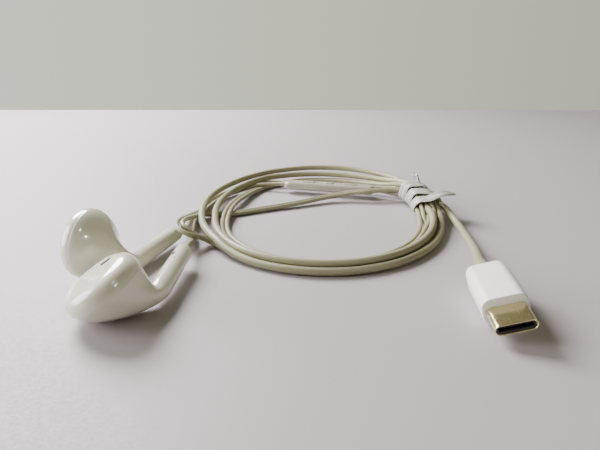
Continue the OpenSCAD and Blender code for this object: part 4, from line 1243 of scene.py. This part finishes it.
def free_end(points, near):
    """Positions and facings of a free end; the facing stays close to the belt's."""
    line = through(points)
    t = unit(np.gradient(line, axis=0))
    return line, near - (t @ near)[:, None] * t


tip_line, tip_up = free_end([*TIP, path[2]], facing[0])
tail_line, tail_up = free_end([path[-3], *TAIL], facing[-1])
TIE_SPREAD = 6                               # how often the joined line is blended
tie_path = spread(np.concatenate([tip_line, path[3:-3], tail_line[1:]]), TIE_SPREAD)
tie_up = unit(spread(np.concatenate([tip_up, facing[3:-3], tail_up[1:]]), TIE_SPREAD))
print("tie", round(run_of(tie_path)[-1], 1), "mm long")

# %% A tree that sweeps a ribbon along a path with a facing
TIE = {"Width": TIE_W, "Thickness": TIE_T, "Web": 0.2, "Sides": 72,
       "Finish": FINISH["tie_matt"]}


def ribbon_tree():
    """The strip's section, a web with two ridges, swept along the path."""
    tree, given, out = new_tree("ribbon", TIE)
    normal = add(tree, "GeometryNodeInputNamedAttribute", {"Name": "facing"},
                 data_type="FLOAT_VECTOR")[0]
    curve = add(tree, "GeometryNodeMeshToCurve", {0: given("Geometry")})[0]
    faced = add(tree, "GeometryNodeSetCurveNormal", {0: curve, "Normal": normal},
                mode="FREE")[0]
    ring = add(tree, "GeometryNodeCurvePrimitiveCircle", {
        "Radius": 1.0, "Resolution": given("Sides")})[0]
    at = add(tree, "GeometryNodeInputPosition")[0]
    x, y, _ = add(tree, "ShaderNodeSeparateXYZ", {0: at})
    wave = math_node("ABSOLUTE", math_node("SINE", x * (math.pi * 0.85)))
    thick = y * (given("Web") + wave ** 1.5) * (given("Thickness") / 2)
    shape = add(tree, "ShaderNodeCombineXYZ", {0: thick, 1: x * (given("Width") / 2)})[0]
    section = add(tree, "GeometryNodeSetPosition", {"Geometry": ring, "Position": shape})[0]
    swept = add(tree, "GeometryNodeCurveToMesh", {
        "Curve": faced, "Profile Curve": section, "Fill Caps": True})[0]
    end_tree(tree, given, out, swept)
    return tree

# %% Sweep the strip
line_mesh = bpy.data.meshes.new("tie_path")
line_mesh.from_pydata(tie_path.tolist(), [(k, k + 1) for k in range(len(tie_path) - 1)], [])
layer = line_mesh.attributes.new("facing", "FLOAT_VECTOR", "POINT")
layer.data.foreach_set("vector", tie_up.ravel().astype(np.float32))
piece = run_tree("tie_strip", ribbon_tree(), TIE, start=line_mesh)
face_outwards(piece.data)
finish_piece(piece, np.eye(4), "tie_matt", "twist_tie")

# %% [markdown]
# ## Placing a thing where its image point is
# The ray through an image point meets what carries the thing; where it misses, the thing
# takes the nearest place to the ray. The tie's wire shows at the cut end of the strip.

# %% The one placement function
def place_on(x, y, carriers):
    """The point of the carriers' surface on the ray through (x, y), or nearest to it."""
    ray, eye, best = Vector(pixel_ray(x, y)), Vector(EYE), None
    for carrier in carriers:
        tree = BVHTree.FromPolygons([v.co for v in carrier.data.vertices],
                                    [p.vertices for p in carrier.data.polygons])
        spot, _, _, distance = tree.ray_cast(eye, ray)
        if spot is not None and (best is None or distance < best[0]):
            best = (distance, spot)
    if best is None:
        spots = [v.co for carrier in carriers for v in carrier.data.vertices]
        best = min(((q - eye - ray * (q - eye).dot(ray)).length, k)
                   for k, q in enumerate(spots))
        best = (best[0], spots[best[1]])
    return np.array(best[1])

# %% The wire's end
WIRE = [(0.001, -1.2), (.17, -1.2), (.17, .75), (.15, .82), (.09, .85), (.001, .85)]
spot = place_on(*IMAGE_POINTS["tie_wire"][:2], [made["tie_strip"]]) / MM
run = unit(tie_path[0] - tie_path[2])
wire_place = placed((spot + tie_path[0]) / 2, unit(np.cross(run, UP)), run)
finish_piece(mesh_object("tie_wire", [turned(WIRE, 16, looped=False)], 50), wire_place,
             "steel", slot="tie_white")

# %% [markdown]
# ## Where the cords start
# The photograph shows every cord from end to end. The cable leaves the splitter and ends
# in the plug. Each lead leaves the splitter as well, but its line is read from the stem: it
# goes back into the object. The plug's and the remote's pieces are gathered, and where
# each cord starts is printed.

def start_of(key):
    """Where a cord leaves the object, in metres."""
    return tuple(float(v) for v in strands[key][-1] * MM)


plug_pieces = [made[k] for k in ("plug_housing", "plug_tube", "plug_bend_collar",
                                 "contact_rows")]
plug_pieces += [frame["nodes"][k] for k in ("plug_insulator", "plug_latch_springs",
                                            "plug_board", "converter_chip")]
remote_pieces = [made[k] for k in ("remote_top", "remote_bottom", "remote_cones",
                                   "volume_up_key", "centre_key", "volume_down_key")]
remote_pieces += [frame["nodes"][k] for k in ("remote_board", "dome_switches",
                                              "microphone")]
start_of("main_cable")
start_of("right_lead")
start_of("left_lead")
print("cords start at", {k: np.round(start_of(k), 3).tolist() for k in strands})

# %% [markdown]
# ## Table, light and air
# The photograph shows a pale table that ends against a pale, slightly green distance.
# The table is a plain slab top, and the distance is the world's own colour, so no wall
# stands in the way of a view from behind. A broad lamp high on the left gives the soft
# shadows to the right, a second one fills, and two small lamps, which light nothing but
# gloss, make the pinpoint highlights.

# %% The table
TABLE_X, TABLE_NEAR, TABLE_FAR, TABLE_T = 0.8, -0.5, 0.312, 0.02
TABLE_GAP = 0.0002                           # the table's top is just under the pieces
corners = [(-TABLE_X, TABLE_NEAR), (TABLE_X, TABLE_NEAR), (TABLE_X, TABLE_FAR),
           (-TABLE_X, TABLE_FAR)]
slab = skin([[(x, y, z) for x, y in corners] for z in (-TABLE_T, -TABLE_GAP)])
table = mesh_object("table", [slab])
table.data.materials.append(finish_tree(
    "table", (0.45, 0.41, 0.43), (0.43, 0.39, 0.405), (0.5, 0.62), drift=6, grain=1800,
    bump=0.05))
print("table", 2 * TABLE_X, "by", TABLE_FAR - TABLE_NEAR, "metres")

# %% The air: what the camera sees of it, and the light it gives
world = bpy.data.worlds.new("air")
world.use_nodes = True
air = world.node_tree
direction = add(air, "ShaderNodeTexCoord")[GENERATED]
across_view = add(air, "ShaderNodeSeparateXYZ", {0: direction})[0]
share = add(air, "ShaderNodeMapRange", {
    "Value": across_view, "From Min": -0.5, "From Max": 0.5})[0]
# The distance the camera sees goes from light on the left to darker on the right: painted
# light falloff, as from the lamps on the left.
tone = add(air, "ShaderNodeMix", {
    "Factor": share, "A": (0.92, 0.93, 0.80, 1), "B": (0.58, 0.60, 0.46, 1)},
    data_type="RGBA")[0]
seen = air.nodes["Background"]
feed(seen, {"Color": tone})
felt_light = add(air, "ShaderNodeBackground", {
    "Color": (0.86, 0.83, 0.56, 1), "Strength": 0.26})[0]
for_camera = add(air, "ShaderNodeLightPath")[0]      # is it a ray from the camera
either = add(air, "ShaderNodeMixShader", {
    0: for_camera, 1: felt_light, 2: Value(seen.outputs[0])})[0]
feed(air.nodes["World Output"], {"Surface": either})
bpy.context.scene.world = world
print("air of", len(air.nodes), "nodes")

# %% The lamps
def lamp(name, at, towards, size, watts, tint=(1, 1, 1), gloss_only=False):
    """A round lamp of a size in metres; one that is gloss_only lights nothing else."""
    data = bpy.data.lights.new(name, "AREA")
    data.shape, data.size, data.energy, data.color = "DISK", size, watts, tint
    light = new_object(name, data)
    light.location = at
    light.visible_diffuse = not gloss_only
    light.rotation_euler = (Vector(towards) - Vector(at)).to_track_quat("-Z", "Y").to_euler()
    print("lamp", name, watts, "watts")


lamp("window", (-0.24, 0.32, 0.31), (0.04, 0.02, 0), 0.28, 7.8, (1.0, 0.98, 1.0))
lamp("side", (-0.48, -0.04, 0.17), (0.0, 0.0, 0), 0.42, 4.9, (1.0, 0.97, 1.0))
lamp("spark_one", (0.17, -0.262, 0.478), (0, 0, 0), 0.02, 0.4, gloss_only=True)
lamp("spark_two", (0.309, -0.286, 0.28), (0, 0, 0), 0.02, 0.45, gloss_only=True)

# %% [markdown]
# ## Checking the image points
# Each named thing is looked for in the finished pieces: only points that the camera can
# see count, and only those near the named place. The answer says how far it shows from
# where the photograph has it.

# %% The finished pieces as one surface
bpy.context.view_layer.update()
graph = bpy.context.evaluated_depsgraph_get()
shown, triangles, base = {}, [], 0
for name, piece in made.items():
    live = piece.evaluated_get(graph)
    mesh = live.to_mesh()
    shown[name] = rows_of(mesh.vertices, "co")
    mesh.calc_loop_triangles()
    triangles.append(rows_of(mesh.loop_triangles, "vertices", int) + base)
    base += len(mesh.vertices)
    live.to_mesh_clear()
solid_view = BVHTree.FromPolygons(np.concatenate(list(shown.values())).tolist(),
                                  np.concatenate(triangles).tolist())
print("surface of", sum(map(len, triangles)), "triangles")

# %% Where each named thing shows
SKIN_DEPTH = 0.0002                          # metres a point may hide behind a surface


def visible(point):
    """True where nothing stands between the camera and the point."""
    way = Vector(point - EYE)
    hit = solid_view.ray_cast(Vector(EYE), way.normalized(), way.length - SKIN_DEPTH)
    return hit[0] is None


for name, (x, y, edge, pieces, reach) in IMAGE_POINTS.items():
    points = np.concatenate([shown[piece] for piece in pieces])
    pixels = to_pixels(points)
    near = np.nonzero((np.abs(pixels - (x, y)) < reach).all(1))[0]
    found = pixels[[k for k in near if visible(points[k])]]
    if not len(found):
        continue
